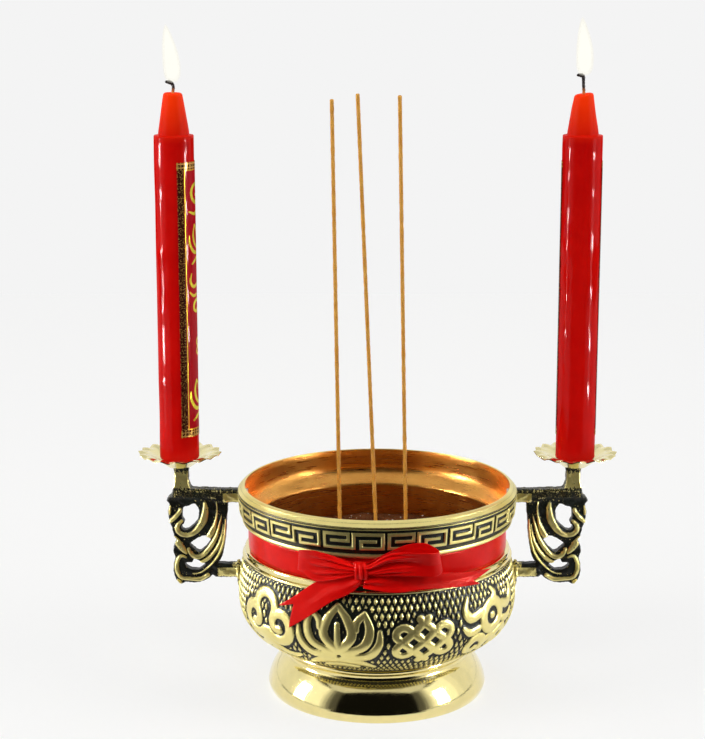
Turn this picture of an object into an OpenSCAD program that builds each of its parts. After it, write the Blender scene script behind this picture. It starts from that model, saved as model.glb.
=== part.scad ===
// Table-top incense burner: a brass bowl on a foot ring with two scrolled handles.
// Each handle carries a drip pan and a candle, and three incense sticks stand in the ash.
// Z = 0 is the table, +X points to the right-hand handle, and -Y is the side with the bow.

/* [Bowl] */
// Outer diameter of the rim
rim_d = 150; // [125:1:185]
// Height of the collar below the rim
collar_h = 20.2; // [16:0.1:28]
// Radius that the collar loses from the rim down to the neck
collar_taper = 2.7; // [0:0.1:3]
// Outer diameter of the neck under the collar
neck_d = 137.2; // [120:0.2:140]
// Height of the neck, where the ribbon is tied
neck_h = 14; // [11:0.5:20]
// Outer diameter of the polished step below the neck
step_d = 143; // [140:0.5:149]
// Height of the polished step
step_h = 4.5; // [3:0.5:8]
// Outer diameter of the round belly
belly_d = 150.4; // [145:0.2:184]
// Height of the belly between the foot and the step
belly_h = 49.5; // [44:0.5:64]
// Height of the belly's widest line above the foot
belly_low = 30; // [24:0.5:34]
// Wall thickness of the belly and the neck
wall = 3.4; // [2.6:0.1:4.4]
// Thickness of the lip
lip_w = 4; // [3.4:0.1:5]
// Height that the lip's top falls towards its outer edge
rim_slope = 2.8; // [1:0.1:4]
// Height of the sloping ledge inside the collar
ledge_h = 5.2; // [3:0.1:6]
// Thickness of the bowl's floor
floor_t = 4; // [3:0.5:7]

/* [Foot] */
// Height of the foot ring
foot_h = 26.4; // [20:0.2:34]
// Outer diameter of the foot on the table
foot_d = 118.4; // [112:0.2:144]
// Diameter where the belly meets the foot
foot_neck_d = 101; // [84:0.5:108]
// Wall thickness of the foot
foot_wall = 3.2; // [2.4:0.1:4.4]
// Thickness of the plate that the centre screw clamps
foot_plate_t = 3.6; // [2.4:0.1:6]
// Diameter of the centre screw
foot_screw_d = 3.5; // [3:0.5:6]

/* [Handles] */
// Reach of a handle from the pot's side to its outer tip
handle_reach = 38; // [34:0.5:48]
// Thickness of a handle
handle_t = 7; // [6:0.5:10]
// Height that the raised scrolls stand proud on each face
scroll_h = 0.8; // [0.4:0.1:1.6]
// Height of the lower lug's middle above the belly's widest line
lug_rise = 9.4; // [6:0.2:11]
// Depth of the upper lug's middle below the rim
lug_drop = 7; // [6:0.2:9]
// Height of a lug
lug_h = 8; // [7:0.2:10]
// Diameter of the screws that hold the handles
handle_screw_d = 3.2; // [2.4:0.1:4]
// Width of the square post under a drip pan
post_w = 8; // [7:0.2:11]
// Height of the post above the handle
post_h = 12.2; // [8:0.1:16]

/* [Drip pans] */
// Outer diameter of a drip pan
pan_d = 45.2; // [38:0.2:54]
// Depth of the dish
pan_depth = 7.6; // [6:0.1:14]
// Thickness of the pan
pan_t = 1; // [0.6:0.1:1.6]
// Number of lobes round the pan's edge
pan_lobes = 16; // [10:1:24]
// Depth of the notches between the lobes
lobe_depth = 1.6; // [0.6:0.1:2.4]
// Gap between the candle's lower edge and the dish under it
candle_gap = 0.7; // [0.3:0.1:4]
// Length of the spike inside the candle
spike_h = 22; // [14:0.5:30]
// Diameter of the spike
spike_d = 3.2; // [2:0.1:5]

/* [Candles] */
// Diameter of a candle
candle_d = 21; // [16:0.2:25]
// Height of the straight part of a candle
candle_h = 172.6; // [160:0.2:220]
// Diameter at the foot of the tapered tip
tip_d = 16.4; // [13:0.2:16.6]
// Diameter at the top of the tapered tip
tip_top_d = 10.2; // [7:0.2:12]
// Height of the tapered tip
tip_h = 22; // [14:0.5:32]
// Diameter of a wick
wick_d = 1.6; // [1:0.1:2.4]
// Length of wick that shows above the wax on the left
wick_h_left = 4; // [2:0.5:8]
// Length of wick that shows above the wax on the right
wick_h_right = 7.5; // [2:0.5:10]
// Height of a flame
flame_h = 31; // [18:0.5:40]
// Width of a flame
flame_w = 9.6; // [6:0.2:14]
// Height of a candle's printed label
label_h = 146; // [80:1:160]
// Angle that the label covers round the candle
label_sweep = 215; // [90:1:300]
// Thickness of the label
label_t = 0.2; // [0.1:0.05:0.4]

/* [Incense and ash] */
// Depth of the ash's surface below the foot of the neck
ash_below = 1; // [-6:0.5:2.5]
// Length of an incense stick with its bamboo core
stick_l = 285; // [220:1:320]
// Diameter of the incense paste
stick_d = 2.2; // [1.8:0.1:3.4]
// Diameter of the bamboo core
core_d = 1.2; // [0.8:0.1:1.6]
// Depth to which the paste itself sinks in the ash
paste_sink = 3; // [1:0.5:8]

/* [Ribbon] */
// Width of the ribbon round the neck
ribbon_w = 12.4; // [8:0.2:13.4]
// Thickness of the ribbon round the neck
ribbon_t = 0.6; // [0.3:0.1:1]
// Thickness of the bow
bow_t = 1.6; // [0.8:0.1:2.4]

/* [Hidden] */
$fn = 96;

// Clearances: a screw in its hole, a thread in its hole, a piece that slides, the bow off the pot
screw_gap = 0.15;
thread_gap = 0.05;
slide_gap = 0.05;
drape_gap = 0.5;

// Radii and levels that follow from the sizes above
rim_r = rim_d / 2;
neck_r = neck_d / 2;
step_r = step_d / 2;
belly_r = belly_d / 2;
foot_neck_r = foot_neck_d / 2;
foot_r = foot_d / 2;
side_r = max(rim_r, belly_r);
widest_z = foot_h + belly_low;
belly_top_z = foot_h + belly_h;
neck_z = belly_top_z + step_h;
collar_z = neck_z + neck_h;
rim_h = collar_z + collar_h;
floor_z = foot_h + floor_t;
big = 400;

// The belly is a rounded-square curve below its widest line and a flat shoulder above it
low_power = 2.6;
shoulder_power = 2.2;
shoulder_r = step_r + 0.7;
low_drop = belly_low / pow(1 - pow(foot_neck_r / belly_r, low_power), 1 / low_power);
function belly_at(z, in) =
    z < widest_z
        ? (belly_r - in) * pow(1 - pow((widest_z - z) / (low_drop - in), low_power), 1 / low_power)
        : belly_r - in - (belly_r - shoulder_r)
            * pow((z - widest_z) / (belly_top_z - widest_z), shoulder_power);
belly_steps = 18;
function belly_line(z0, z1, in) =
    [for (i = [0:belly_steps]) let (z = z0 + (z1 - z0) * i / belly_steps) [belly_at(z, in), z]];

// Outer line of the pot from its base to the lip, and its inner line from the lip to the floor
bead_h = 1.4;
lip_r = rim_r - lip_w;
lip_round = 0.6;
outer_line = concat([[0, foot_h]], belly_line(foot_h, belly_top_z, 0), [
    [step_r, belly_top_z + bead_h * 0.4], [step_r, neck_z - bead_h], [step_r - bead_h, neck_z],
    [neck_r, neck_z], [neck_r, collar_z], [rim_r - collar_taper - bead_h, collar_z],
    [rim_r - collar_taper, collar_z + bead_h], [rim_r - 0.8, collar_z + 6], [rim_r, rim_h - 6],
    [rim_r, rim_h - rim_slope - lip_round], [rim_r - lip_round, rim_h - rim_slope], [lip_r + lip_round, rim_h]]);
inner_neck_r = neck_r - wall;
ledge_z = collar_z + 1;
ledge_top_z = ledge_z + ledge_h;
inner_shoulder_z = belly_top_z - 4;
inner_line = concat(
    [[lip_r, rim_h - lip_round], [lip_r, ledge_top_z], [inner_neck_r, ledge_z], [inner_neck_r, belly_top_z]],
    [for (i = [belly_steps:-1:0]) belly_line(floor_z, inner_shoulder_z, wall)[i]],
    [[0, floor_z]]);

// Foot: a plate under the bowl and a wall that flares down to the table
foot_groove = 0.8;
foot_band_r = foot_neck_r + 1.2;
foot_edge = 0.6;
flare_top_z = foot_h - 6.9;
flare_power = 2.2;
flare_straight = 0.5;
flare_steps = 10;
function flare_at(t) = [
    foot_r - (foot_r - foot_band_r) * (flare_straight * t + (1 - flare_straight) * pow(t, flare_power)),
    foot_edge + (flare_top_z - foot_edge) * t];
foot_screw_r = foot_screw_d / 2;
washer_t = 1.4;
nut_h = foot_screw_d * 0.8;
plate_z = foot_h - foot_plate_t;

// Handle: outline points run outwards from the pot's side and upwards from the lower lug
lug_low_z = widest_z + lug_rise;
lug_top_z = rim_h - lug_drop;
outline_reach = 38;
outline_rise = 41.8;
function place(p) = [side_r + p[0] * handle_reach / outline_reach,
    lug_low_z + p[1] * (lug_top_z - lug_low_z) / outline_rise];
handle_outline = [[33, 45], [38, 42], [36.5, 37], [37, 30], [36, 25], [34.5, 19.5], [33.2, 17.5],
    [34.7, 11], [34, 7], [34.8, -1], [33.7, -5.2], [31, -7.6], [28, -6.6], [22.5, -6.8], [17.5, -5.2],
    [14, -2.6], [11, 4.3], [9.2, 6.5], [6.5, 17.5], [5.8, 29.5], [5.4, 38], [10, 45]];
upper_window = [[29.2, 35], [23, 37.4], [20.8, 34.2], [21.4, 28.6], [24.2, 25], [28, 22.6],
    [30.4, 24.4], [28.6, 27.2], [29.8, 29.5]];
middle_window = [[25.6, 15.2], [18.4, 19.6], [14.6, 17.4], [17.2, 13.2], [20.8, 10.4], [23, 11.8]];
lower_window = [[28.6, 4.3], [25, 4.7], [23.6, 6.6], [20.4, 5.2], [17.8, 3.3], [21, 0.6],
    [24.6, 0.4], [27.7, 1.9]];
crest_scroll = [[18, 36], [18.3, 29.5], [22.4, 23], [27.8, 20.2], [32.2, 21.6], [33.1, 25], [31, 27.2]];
inner_scroll = [[12.6, 37.6], [13.3, 29.5], [14.3, 22.5], [16.2, 18.8]];
long_scroll = [[8.6, 37], [9.6, 29.5], [10.4, 20], [13.2, 11], [18, 4.4], [22, 1.4]];
lug_root = 3;
beam_h = 7;
post_x = side_r + 29.8 * handle_reach / outline_reach;
pan_x = post_x + 0.9;
beam_top_z = lug_top_z + lug_h / 2;
pan_z = beam_top_z + post_h;

// Handle screws: their heads sit in flat pockets in the pot's wall, at these seats and heights
handle_screw_r = handle_screw_d / 2;
screw_head_r = handle_screw_d * 1.05;
screw_head_h = 1.8;
screw_depth = 9;
seat_cut = 0.4;
screw_spots = [[lip_r + seat_cut, lug_top_z], [belly_at(lug_low_z, wall) + seat_cut, lug_low_z]];

// Drip pan, pricket and candle stand in one line over the post
pan_r = pan_d / 2;
hub_r = 6.5;
hub_z = pan_z + pan_t;
pan_steps = 10;
pricket_shank_r = 1.6;
pricket_shank_h = 8;
candle_r = candle_d / 2;
function dish_z(t) = pan_z + pan_depth * sin(90 * t);
function dish_r(t) = hub_r + (pan_r - hub_r) * t;
seat_z = dish_z((candle_r - hub_r) / (pan_r - hub_r)) + pan_t + candle_gap;
spike_r = spike_d / 2;
point_h = spike_h * 0.35;
shoulder_z = seat_z + candle_h;
tip_z = shoulder_z + tip_h;
label_z = seat_z + (candle_h - label_h) / 2;
label_turn = [11, 68];
wick_bury = 12;
wick_r = wick_d / 2;
wick_hook = 4;
flame_lean = [5, 2];

// Incense sticks: where each leaves the ash, how far it leans to the left, and its end's gap to the floor
stick_x = [-19.9, -0.2, 15.7];
stick_lean = [0.98, 2.47, 1.09];
stick_end_gap = [4, 7, 6];
ash_z = neck_z - ash_below;
function stick_bury(i) = ash_z - floor_z - stick_end_gap[i];
stick_r = stick_d / 2;
core_r = core_d / 2;

// Bow: outlines seen from the front, right and up from the knot's middle
knot_x = -8.6;
knot_w = 14;
knot_h = 11;
bow_r = side_r + drape_gap;
bow_z = neck_z + neck_h / 2;
loop_left = [[2, 3.5], [-12, 7], [-30.5, 7.5], [-32.4, 1], [-30.8, -5.4], [-14, -5], [2, -3.5]];
loop_right = [[-2, -3], [16, -6.4], [39.5, -7], [41, 5], [29, 14], [17, 11.5], [-2, 4]];
tail_left = [[0, 3], [-42.5, -22.5], [-38.2, -26.4], [-36.7, -34], [6.6, -6]];
tail_right = [[0, 0], [40, -6], [64, -8.4], [56.5, -12.6], [58.5, -14.4], [30, -13.6], [2, -7]];

// A smooth closed or open curve through a list of points
function blend(a, b, c, d, t) =
    0.5 * (2 * b + (c - a) * t + (2 * a - 5 * b + 4 * c - d) * t * t + (3 * b - a - 3 * c + d) * t * t * t);
function closed_curve(p, n) = let (k = len(p)) [for (i = [0:k - 1]) for (j = [0:n - 1])
    blend(p[(i + k - 1) % k], p[i], p[(i + 1) % k], p[(i + 2) % k], j / n)];
function open_curve(p, n) = let (k = len(p) - 1) concat([for (i = [0:k - 1]) for (j = [0:n - 1])
    blend(p[max(i - 1, 0)], p[i], p[i + 1], p[min(i + 2, k)], j / n)], [p[k]]);
function along(c, i) = let (d = c[min(i + 1, len(c) - 1)] - c[max(i - 1, 0)]) d / norm(d);
function side_of(c, i, w) = let (d = along(c, i)) c[i] + w * [-d[1], d[0]];
function stroke(c, w) = let (k = len(c) - 1) concat(
    [for (i = [0:k]) side_of(c, i, w * (1 - 0.6 * i / k))],
    [for (i = [k:-1:0]) side_of(c, i, -w * (1 - 0.6 * i / k))]);

// Solid of the pot's outside, which the handles are trimmed to
module pot_outside() {
    rotate_extrude() polygon(concat(outer_line, [[0, rim_h]]));
}

// Lays a flat outline upright in the plane of the handles, t thick and centred on it
module upright(t) {
    rotate([90, 0, 0]) linear_extrude(height = t, center = true) children();
}

// Shows a left-hand piece as it is, and a right-hand piece mirrored
module on_side(right) {
    if (right) children();
    else mirror([1, 0, 0]) children();
}

// A cylinder that lies along +X from x
module rod_x(r, x, l, z) {
    translate([x, 0, z]) rotate([0, 90, 0]) cylinder(r = r, h = l);
}

module screw_set(gap, head_gap) {
    for (s = screw_spots) {
        rod_x(handle_screw_r + gap, s[0] - 0.01, screw_depth + 0.01, s[1]);
        rod_x(screw_head_r + head_gap, s[0] - screw_head_h, screw_head_h, s[1]);
    }
}

module bowl() {
    color("darkgoldenrod") difference() {
        rotate_extrude() polygon(concat(outer_line, inner_line));
        translate([0, 0, foot_h - 1]) cylinder(r = foot_screw_r + screw_gap, h = floor_t + 2);
        for (right = [false, true]) on_side(right) screw_set(screw_gap, 0.2);
    }
}

module foot_ring() {
    color("gold") rotate_extrude() polygon(concat(
        [[foot_screw_r + screw_gap, foot_h], [foot_neck_r, foot_h], [foot_neck_r, foot_h - 2.4],
            [foot_neck_r - foot_groove, foot_h - 3.2], [foot_neck_r - foot_groove, foot_h - 6.2]],
        [for (i = [flare_steps:-1:0]) flare_at(i / flare_steps)],
        [[foot_r - foot_edge, 0], [foot_r - foot_edge - foot_wall, 0]],
        [for (i = [0:flare_steps]) flare_at(i / flare_steps) - [foot_wall, 0.6 * foot_wall]],
        [[foot_neck_r - foot_groove - foot_wall, plate_z], [foot_screw_r + screw_gap, plate_z]]));
}

module foot_screw() {
    color("silver") {
        translate([0, 0, floor_z]) rotate_extrude()
            polygon(concat([[0, 0]], [for (a = [0:15:90]) foot_screw_r * [1.9 * cos(a), sin(a)]]));
        translate([0, 0, plate_z - washer_t - nut_h - 2])
            cylinder(r = foot_screw_r, h = floor_z - plate_z + washer_t + nut_h + 2);
    }
}

module foot_washer() {
    color("silver") translate([0, 0, plate_z - washer_t]) difference() {
        cylinder(r = foot_screw_r * 2.2, h = washer_t);
        translate([0, 0, -1]) cylinder(r = foot_screw_r + screw_gap, h = washer_t + 2);
    }
}

module foot_nut() {
    color("silver") translate([0, 0, plate_z - washer_t - nut_h]) difference() {
        cylinder(r = foot_screw_r * 1.9, h = nut_h, $fn = 6);
        translate([0, 0, -1]) cylinder(r = foot_screw_r + thread_gap, h = nut_h + 2);
    }
}

module scroll(points, w) {
    upright(handle_t + 2 * scroll_h) polygon(stroke(open_curve([for (p = points) place(p)], 3), w));
}

// A bar from x0 to x1 that joins the openwork to the pot
module lug_bar(x0, x1, z) {
    translate([x0, -handle_t / 2, z - lug_h / 2]) cube([x1 - x0, handle_t, lug_h]);
}

// One cast handle, drawn for the right-hand side
module handle_body() {
    difference() {
        union() {
            difference() {
                upright(handle_t) polygon(closed_curve([for (p = handle_outline) place(p)], 3));
                for (w = [upper_window, middle_window, lower_window])
                    upright(handle_t + 2) polygon(closed_curve([for (p = w) place(p)], 3));
            }
            scroll(crest_scroll, 1.1);
            scroll(inner_scroll, 1.1);
            scroll(long_scroll, 1.2);
            lug_bar(rim_r - lug_root, post_x, lug_top_z);
            lug_bar(belly_at(lug_low_z, 0) - lug_root, place([14, 0])[0], lug_low_z);
            translate([post_x - post_w / 2, -post_w / 2, beam_top_z - beam_h])
                cube([post_w, post_w, post_h + beam_h]);
            translate([post_x - post_w * 0.65, -post_w / 2, beam_top_z - 1])
                cube([post_w * 1.3, post_w, 3]);
        }
        pot_outside();
        for (s = screw_spots) rod_x(handle_screw_r + thread_gap, s[0], screw_depth + 0.5, s[1]);
        translate([pan_x, 0, pan_z - pricket_shank_h - 0.5])
            cylinder(r = pricket_shank_r + thread_gap, h = pricket_shank_h + 1);
    }
}

module handle_left() { color("goldenrod") on_side(false) handle_body(); }
module handle_right() { color("goldenrod") on_side(true) handle_body(); }

module handle_screws_left() { color("silver") on_side(false) screw_set(0, 0); }
module handle_screws_right() { color("silver") on_side(true) screw_set(0, 0); }

function lobe_edge(a) = pan_r - lobe_depth * pow(abs(sin(a * pan_lobes / 2)), 0.8);

module drip_pan_body() {
    translate([pan_x, 0, 0]) intersection() {
        rotate_extrude() polygon(concat(
            [[pricket_shank_r + screw_gap, pan_z]],
            [for (i = [0:pan_steps]) [dish_r(i / pan_steps), dish_z(i / pan_steps)]],
            [for (i = [pan_steps:-1:0]) [dish_r(i / pan_steps), dish_z(i / pan_steps) + pan_t]],
            [[pricket_shank_r + screw_gap, pan_z + pan_t]]));
        translate([0, 0, pan_z - 1]) linear_extrude(height = pan_depth + pan_t + 2)
            polygon([for (i = [0:pan_lobes * 8 - 1]) let (a = i * 45 / pan_lobes)
                lobe_edge(a) * [cos(a), sin(a)]]);
    }
}

module drip_pan_left() { color("khaki") on_side(false) drip_pan_body(); }
module drip_pan_right() { color("khaki") on_side(true) drip_pan_body(); }

module pricket_body() {
    translate([pan_x, 0, pan_z - pricket_shank_h]) cylinder(r = pricket_shank_r, h = pricket_shank_h + pan_t);
    translate([pan_x, 0, 0]) rotate_extrude() polygon([[0, hub_z], [hub_r - 0.5, hub_z],
        [hub_r - 0.5, seat_z], [spike_r, seat_z], [spike_r, seat_z + spike_h - point_h],
        [0, seat_z + spike_h]]);
}

module pricket_left() { color("khaki") on_side(false) pricket_body(); }
module pricket_right() { color("khaki") on_side(true) pricket_body(); }

module candle_body() {
    translate([pan_x, 0, 0]) rotate_extrude() polygon([
        [spike_r + slide_gap, seat_z], [candle_r - 0.5, seat_z], [candle_r, seat_z + 0.5],
        [candle_r, shoulder_z - 0.4], [candle_r - 0.4, shoulder_z], [tip_d / 2, shoulder_z + 1],
        [tip_top_d / 2, tip_z - 1], [tip_top_d / 2 - 1, tip_z], [wick_r + slide_gap, tip_z - 0.6],
        [wick_r + slide_gap, tip_z - wick_bury], [0, tip_z - wick_bury],
        [0, seat_z + spike_h + 0.6], [spike_r + slide_gap, seat_z + spike_h - point_h + 0.4]]);
}

module candle_left() { color("crimson") on_side(false) candle_body(); }
module candle_right() { color("crimson") on_side(true) candle_body(); }

// The wick stands up out of the wax and hooks over to the left at its end
module wick_at(x, h) {
    translate([x, 0, tip_z - wick_bury]) cylinder(r = wick_r, h = wick_bury + h);
    translate([x, 0, tip_z + h]) {
        sphere(r = wick_r);
        rotate([0, -70, 0]) cylinder(r = wick_r, h = wick_hook);
        rotate([0, -70, 0]) translate([0, 0, wick_hook]) sphere(r = wick_r);
    }
}

module wick_left() { color("dimgray") wick_at(-pan_x, wick_h_left); }
module wick_right() { color("dimgray") wick_at(pan_x, wick_h_right); }

module label_at(x, turn) {
    translate([x, 0, label_z]) rotate([0, 0, turn - 90]) rotate_extrude(angle = label_sweep)
        translate([candle_r, 0]) square([label_t, label_h]);
}

module candle_label_left() { color("orange") label_at(-pan_x, label_turn[0]); }
module candle_label_right() { color("orange") label_at(pan_x, label_turn[1]); }

// A drop shape that closes round the end of the wick
module flame_at(x, h, lean) {
    translate([x, 0, tip_z + h]) rotate([0, -lean, 0]) rotate_extrude()
        polygon(concat([[0, 0]], [for (i = [1:11]) let (t = i / 12)
            [flame_w / 2 * pow(sin(180 * pow(t, 0.8)), 1.2), flame_h * t]], [[0, flame_h]]));
}

module flame_left() { color("lightyellow") flame_at(-pan_x, wick_h_left, flame_lean[0]); }
module flame_right() { color("lightyellow") flame_at(pan_x, wick_h_right, flame_lean[1]); }

module stick_frame(i) {
    translate([stick_x[i], 0, ash_z]) rotate([0, -stick_lean[i], 0]) translate([0, 0, -stick_bury(i)])
        children();
}

module ash_bed() {
    color("saddlebrown") difference() {
        rotate_extrude() polygon(concat([[0, floor_z]], belly_line(floor_z, inner_shoulder_z, wall),
            [[inner_neck_r, belly_top_z], [inner_neck_r, ash_z], [0, ash_z]]));
        translate([0, 0, floor_z - 1]) cylinder(r = foot_screw_r * 1.9 + 0.2, h = foot_screw_r + 1.2);
        for (right = [false, true]) on_side(right)
            rod_x(screw_head_r + 0.2, screw_spots[1][0] - screw_head_h - 0.2, 6, lug_low_z);
        for (i = [0:2]) stick_frame(i) {
            cylinder(r = core_r + slide_gap, h = stick_bury(i) + 5);
            translate([0, 0, stick_bury(i) - paste_sink]) cylinder(r = stick_r + slide_gap, h = 10);
        }
    }
}

module paste_at(i) {
    stick_frame(i) translate([0, 0, stick_bury(i) - paste_sink]) difference() {
        cylinder(r = stick_r, h = stick_l - stick_bury(i) + paste_sink);
        translate([0, 0, -1]) cylinder(r = core_r, h = stick_l - stick_bury(i) + paste_sink - 1);
    }
}

module core_at(i) {
    stick_frame(i) cylinder(r = core_r, h = stick_l - 2);
}

module incense_left() { color("peru") paste_at(0); }
module incense_middle() { color("peru") paste_at(1); }
module incense_right() { color("peru") paste_at(2); }
module bamboo_left() { color("tan") core_at(0); }
module bamboo_middle() { color("tan") core_at(1); }
module bamboo_right() { color("tan") core_at(2); }

module ribbon_band() {
    color("red") translate([0, 0, bow_z - ribbon_w / 2]) rotate_extrude()
        translate([neck_r, 0]) square([ribbon_t, ribbon_w]);
}

// A curved sheet in front of the pot, cut to an outline that is seen from the front
module draped(points, n, r, t) {
    intersection() {
        translate([0, 0, bow_z - 60]) difference() {
            cylinder(r = r + t, h = 120);
            translate([0, 0, -1]) cylinder(r = r, h = 122);
        }
        translate([knot_x, -big / 4, bow_z]) rotate([90, 0, 0])
            linear_extrude(height = big / 2, center = true)
                polygon(n > 1 ? closed_curve(points, n) : points);
    }
}

module ribbon_bow() {
    color("red") {
        draped(loop_left, 3, bow_r, bow_t);
        draped(loop_right, 3, bow_r, bow_t);
        draped(tail_left, 1, bow_r, bow_t);
        draped(tail_right, 1, bow_r, bow_t);
        intersection() {
            translate([0, 0, bow_z - knot_h / 2]) difference() {
                cylinder(r = bow_r + bow_t, h = knot_h);
                translate([0, 0, -1]) cylinder(r = neck_r + ribbon_t, h = knot_h + 2);
            }
            translate([knot_x - knot_w / 2, -bow_r - 5, bow_z - knot_h])
                cube([knot_w, bow_r + 5, 2 * knot_h]);
        }
    }
}

bowl();
foot_ring();
foot_screw();
foot_washer();
foot_nut();
handle_left();
handle_right();
handle_screws_left();
handle_screws_right();
drip_pan_left();
drip_pan_right();
pricket_left();
pricket_right();
candle_left();
candle_right();
wick_left();
wick_right();
candle_label_left();
candle_label_right();
flame_left();
flame_right();
ash_bed();
incense_left();
incense_middle();
incense_right();
bamboo_left();
bamboo_middle();
bamboo_right();
ribbon_band();
ribbon_bow();
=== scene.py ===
import math
import bpy
import numpy as np
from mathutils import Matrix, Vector


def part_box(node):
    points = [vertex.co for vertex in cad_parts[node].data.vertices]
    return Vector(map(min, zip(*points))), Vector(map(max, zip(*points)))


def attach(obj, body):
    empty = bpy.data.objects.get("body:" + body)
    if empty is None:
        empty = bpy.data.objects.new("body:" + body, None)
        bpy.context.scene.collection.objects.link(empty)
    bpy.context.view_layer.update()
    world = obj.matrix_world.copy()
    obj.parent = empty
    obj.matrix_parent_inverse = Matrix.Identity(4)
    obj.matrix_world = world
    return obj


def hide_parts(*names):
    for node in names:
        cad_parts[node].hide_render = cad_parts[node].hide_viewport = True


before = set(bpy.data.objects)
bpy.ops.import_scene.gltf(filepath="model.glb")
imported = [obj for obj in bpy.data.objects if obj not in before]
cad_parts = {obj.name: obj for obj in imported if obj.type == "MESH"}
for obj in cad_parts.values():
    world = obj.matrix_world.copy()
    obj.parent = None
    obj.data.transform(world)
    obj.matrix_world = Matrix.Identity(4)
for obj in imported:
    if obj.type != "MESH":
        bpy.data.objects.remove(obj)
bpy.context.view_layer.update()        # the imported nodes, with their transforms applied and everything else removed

mm = 0.001
rng = np.random.default_rng(7)


def makeMesh(name, verts, faces, smoothAngle=50, materials=(), faceSlots=None):
    mesh = bpy.data.meshes.new(name)
    mesh.from_pydata([tuple(v) for v in np.asarray(verts, float)], [],
        [tuple(int(i) for i in f) for f in faces])
    mesh.update()
    for mat in materials:
        mesh.materials.append(mat)
    if faceSlots is not None:
        mesh.polygons.foreach_set("material_index", np.asarray(faceSlots, np.int32))
    mesh.shade_smooth()
    mesh.set_sharp_from_angle(angle=math.radians(smoothAngle))
    obj = bpy.data.objects.new(name, mesh)
    bpy.context.scene.collection.objects.link(obj)
    return obj


def addPiece(obj, body, slotName, *nodes):
    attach(obj, body)
    if nodes:
        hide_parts(*nodes)
    return obj


def setAttribute(obj, name, values):
    layer = obj.data.attributes.new(name, "FLOAT", "POINT")
    layer.data.foreach_set("value", np.asarray(values, np.float32))


def gridFaces(rows, cols, closeRows=False, closeCols=True):
    # quads of a rows x cols grid of points, wrapped round where it closes
    r = np.arange(rows if closeRows else rows - 1)
    c = np.arange(cols if closeCols else cols - 1)
    r, c = [a.ravel() for a in np.meshgrid(r, c, indexing="ij")]
    r2, c2 = (r + 1) % rows, (c + 1) % cols
    return np.stack([r * cols + c, r * cols + c2, r2 * cols + c2, r2 * cols + c], 1)


def smoothStep(a, b, x):
    t = np.clip((x - a) / (b - a), 0, 1)
    return t * t * (3 - 2 * t)


def catmull(points, steps, closed=False):
    # smooth curve through the points, any number of values each
    p = np.asarray(points, float)
    n = len(p)
    out = []
    for i in range(n if closed else n - 1):
        a, b, c, d = [p[(i + k) % n] if closed else p[min(max(i + k, 0), n - 1)] for k in (-1, 0, 1, 2)]
        t = np.arange(steps)[:, None] / steps
        out.append(0.5 * (2 * b + (c - a) * t + (2 * a - 5 * b + 4 * c - d) * t ** 2
                          + (3 * b - a - 3 * c + d) * t ** 3))
    if not closed:
        out.append(p[-1:])
    return np.concatenate(out)


def strokeDistance(x, y, stroke):
    # distance to a line of points (x, y, half width), negative inside the stroke
    s = np.asarray(stroke, float)
    best = np.full(np.shape(x), 1e9)
    for (ax, ay, aw), (bx, by, bw) in zip(s[:-1], s[1:]):
        dx, dy = bx - ax, by - ay
        t = np.clip(((x - ax) * dx + (y - ay) * dy) / max(dx * dx + dy * dy, 1e-12), 0, 1)
        best = np.minimum(best, np.hypot(x - ax - t * dx, y - ay - t * dy) - (aw + t * (bw - aw)))
    return best


def polygonDistance(x, y, points):
    # distance to a closed outline, negative inside
    p = np.asarray(points, float)
    best, odd = np.full(np.shape(x), 1e9), np.zeros(np.shape(x), bool)
    for (ax, ay), (bx, by) in zip(p, np.roll(p, -1, 0)):
        dx, dy = bx - ax, by - ay
        t = np.clip(((x - ax) * dx + (y - ay) * dy) / max(dx * dx + dy * dy, 1e-12), 0, 1)
        best = np.minimum(best, np.hypot(x - ax - t * dx, y - ay - t * dy))
        if ay != by:
            odd ^= ((ay > y) != (by > y)) & (x < (bx - ax) * (y - ay) / (by - ay) + ax)
    return np.where(odd, -best, best)


def ripple(points, scale, seed, waves=14):
    # soft repeatable bumps between -1 and 1, scale is the size of one bump
    own = np.random.default_rng(seed)
    total = np.zeros(len(points))
    for _ in range(waves):
        way = own.normal(size=3)
        way *= 2 * math.pi / (scale * np.linalg.norm(way)) * own.uniform(0.6, 1.5)
        total += np.sin(points @ way + own.uniform(0, 6.28))
    return total / math.sqrt(waves)


def surfaceNet(field, low, cell):
    # mesh of the surface where a field on a grid crosses zero, negative inside
    size = [n - 1 for n in field.shape]
    part = lambda c: field[c[0]:c[0] + size[0], c[1]:c[1] + size[1], c[2]:c[2] + size[2]]
    total, count = np.zeros(size + [3]), np.zeros(size)
    for corner in np.ndindex(2, 2, 2):
        for axis in range(3):
            if corner[axis]:
                continue
            other = tuple(1 if k == axis else corner[k] for k in range(3))
            fa, fb = part(corner), part(other)
            cross = (fa < 0) != (fb < 0)
            t = np.where(cross, fa / np.where(cross, fa - fb, 1), 0)
            for k in range(3):
                total[..., k] += np.where(cross, corner[k] + (t if k == axis else 0), 0)
            count += cross
    used = count > 0
    index = np.full(size, -1)
    index[used] = np.arange(used.sum())
    verts = low + (np.argwhere(used) + total[used] / count[used][:, None]) * cell
    faces = []
    for axis in range(3):
        u, v = (axis + 1) % 3, (axis + 2) % 3
        a = np.moveaxis(field, (axis, u, v), (0, 1, 2)) < 0
        ids = np.moveaxis(index, (axis, u, v), (0, 1, 2))
        first, last = a[:-1, 1:-1, 1:-1], a[1:, 1:-1, 1:-1]
        for flip in (False, True):
            i, j, k = np.nonzero((first & ~last) if not flip else (~first & last))
            quad = [ids[i, j + 1, k + 1], ids[i, j, k + 1], ids[i, j, k], ids[i, j + 1, k]]
            faces.append(np.stack(quad[::-1] if flip else quad, 1))
    return verts, np.concatenate(faces)


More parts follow.
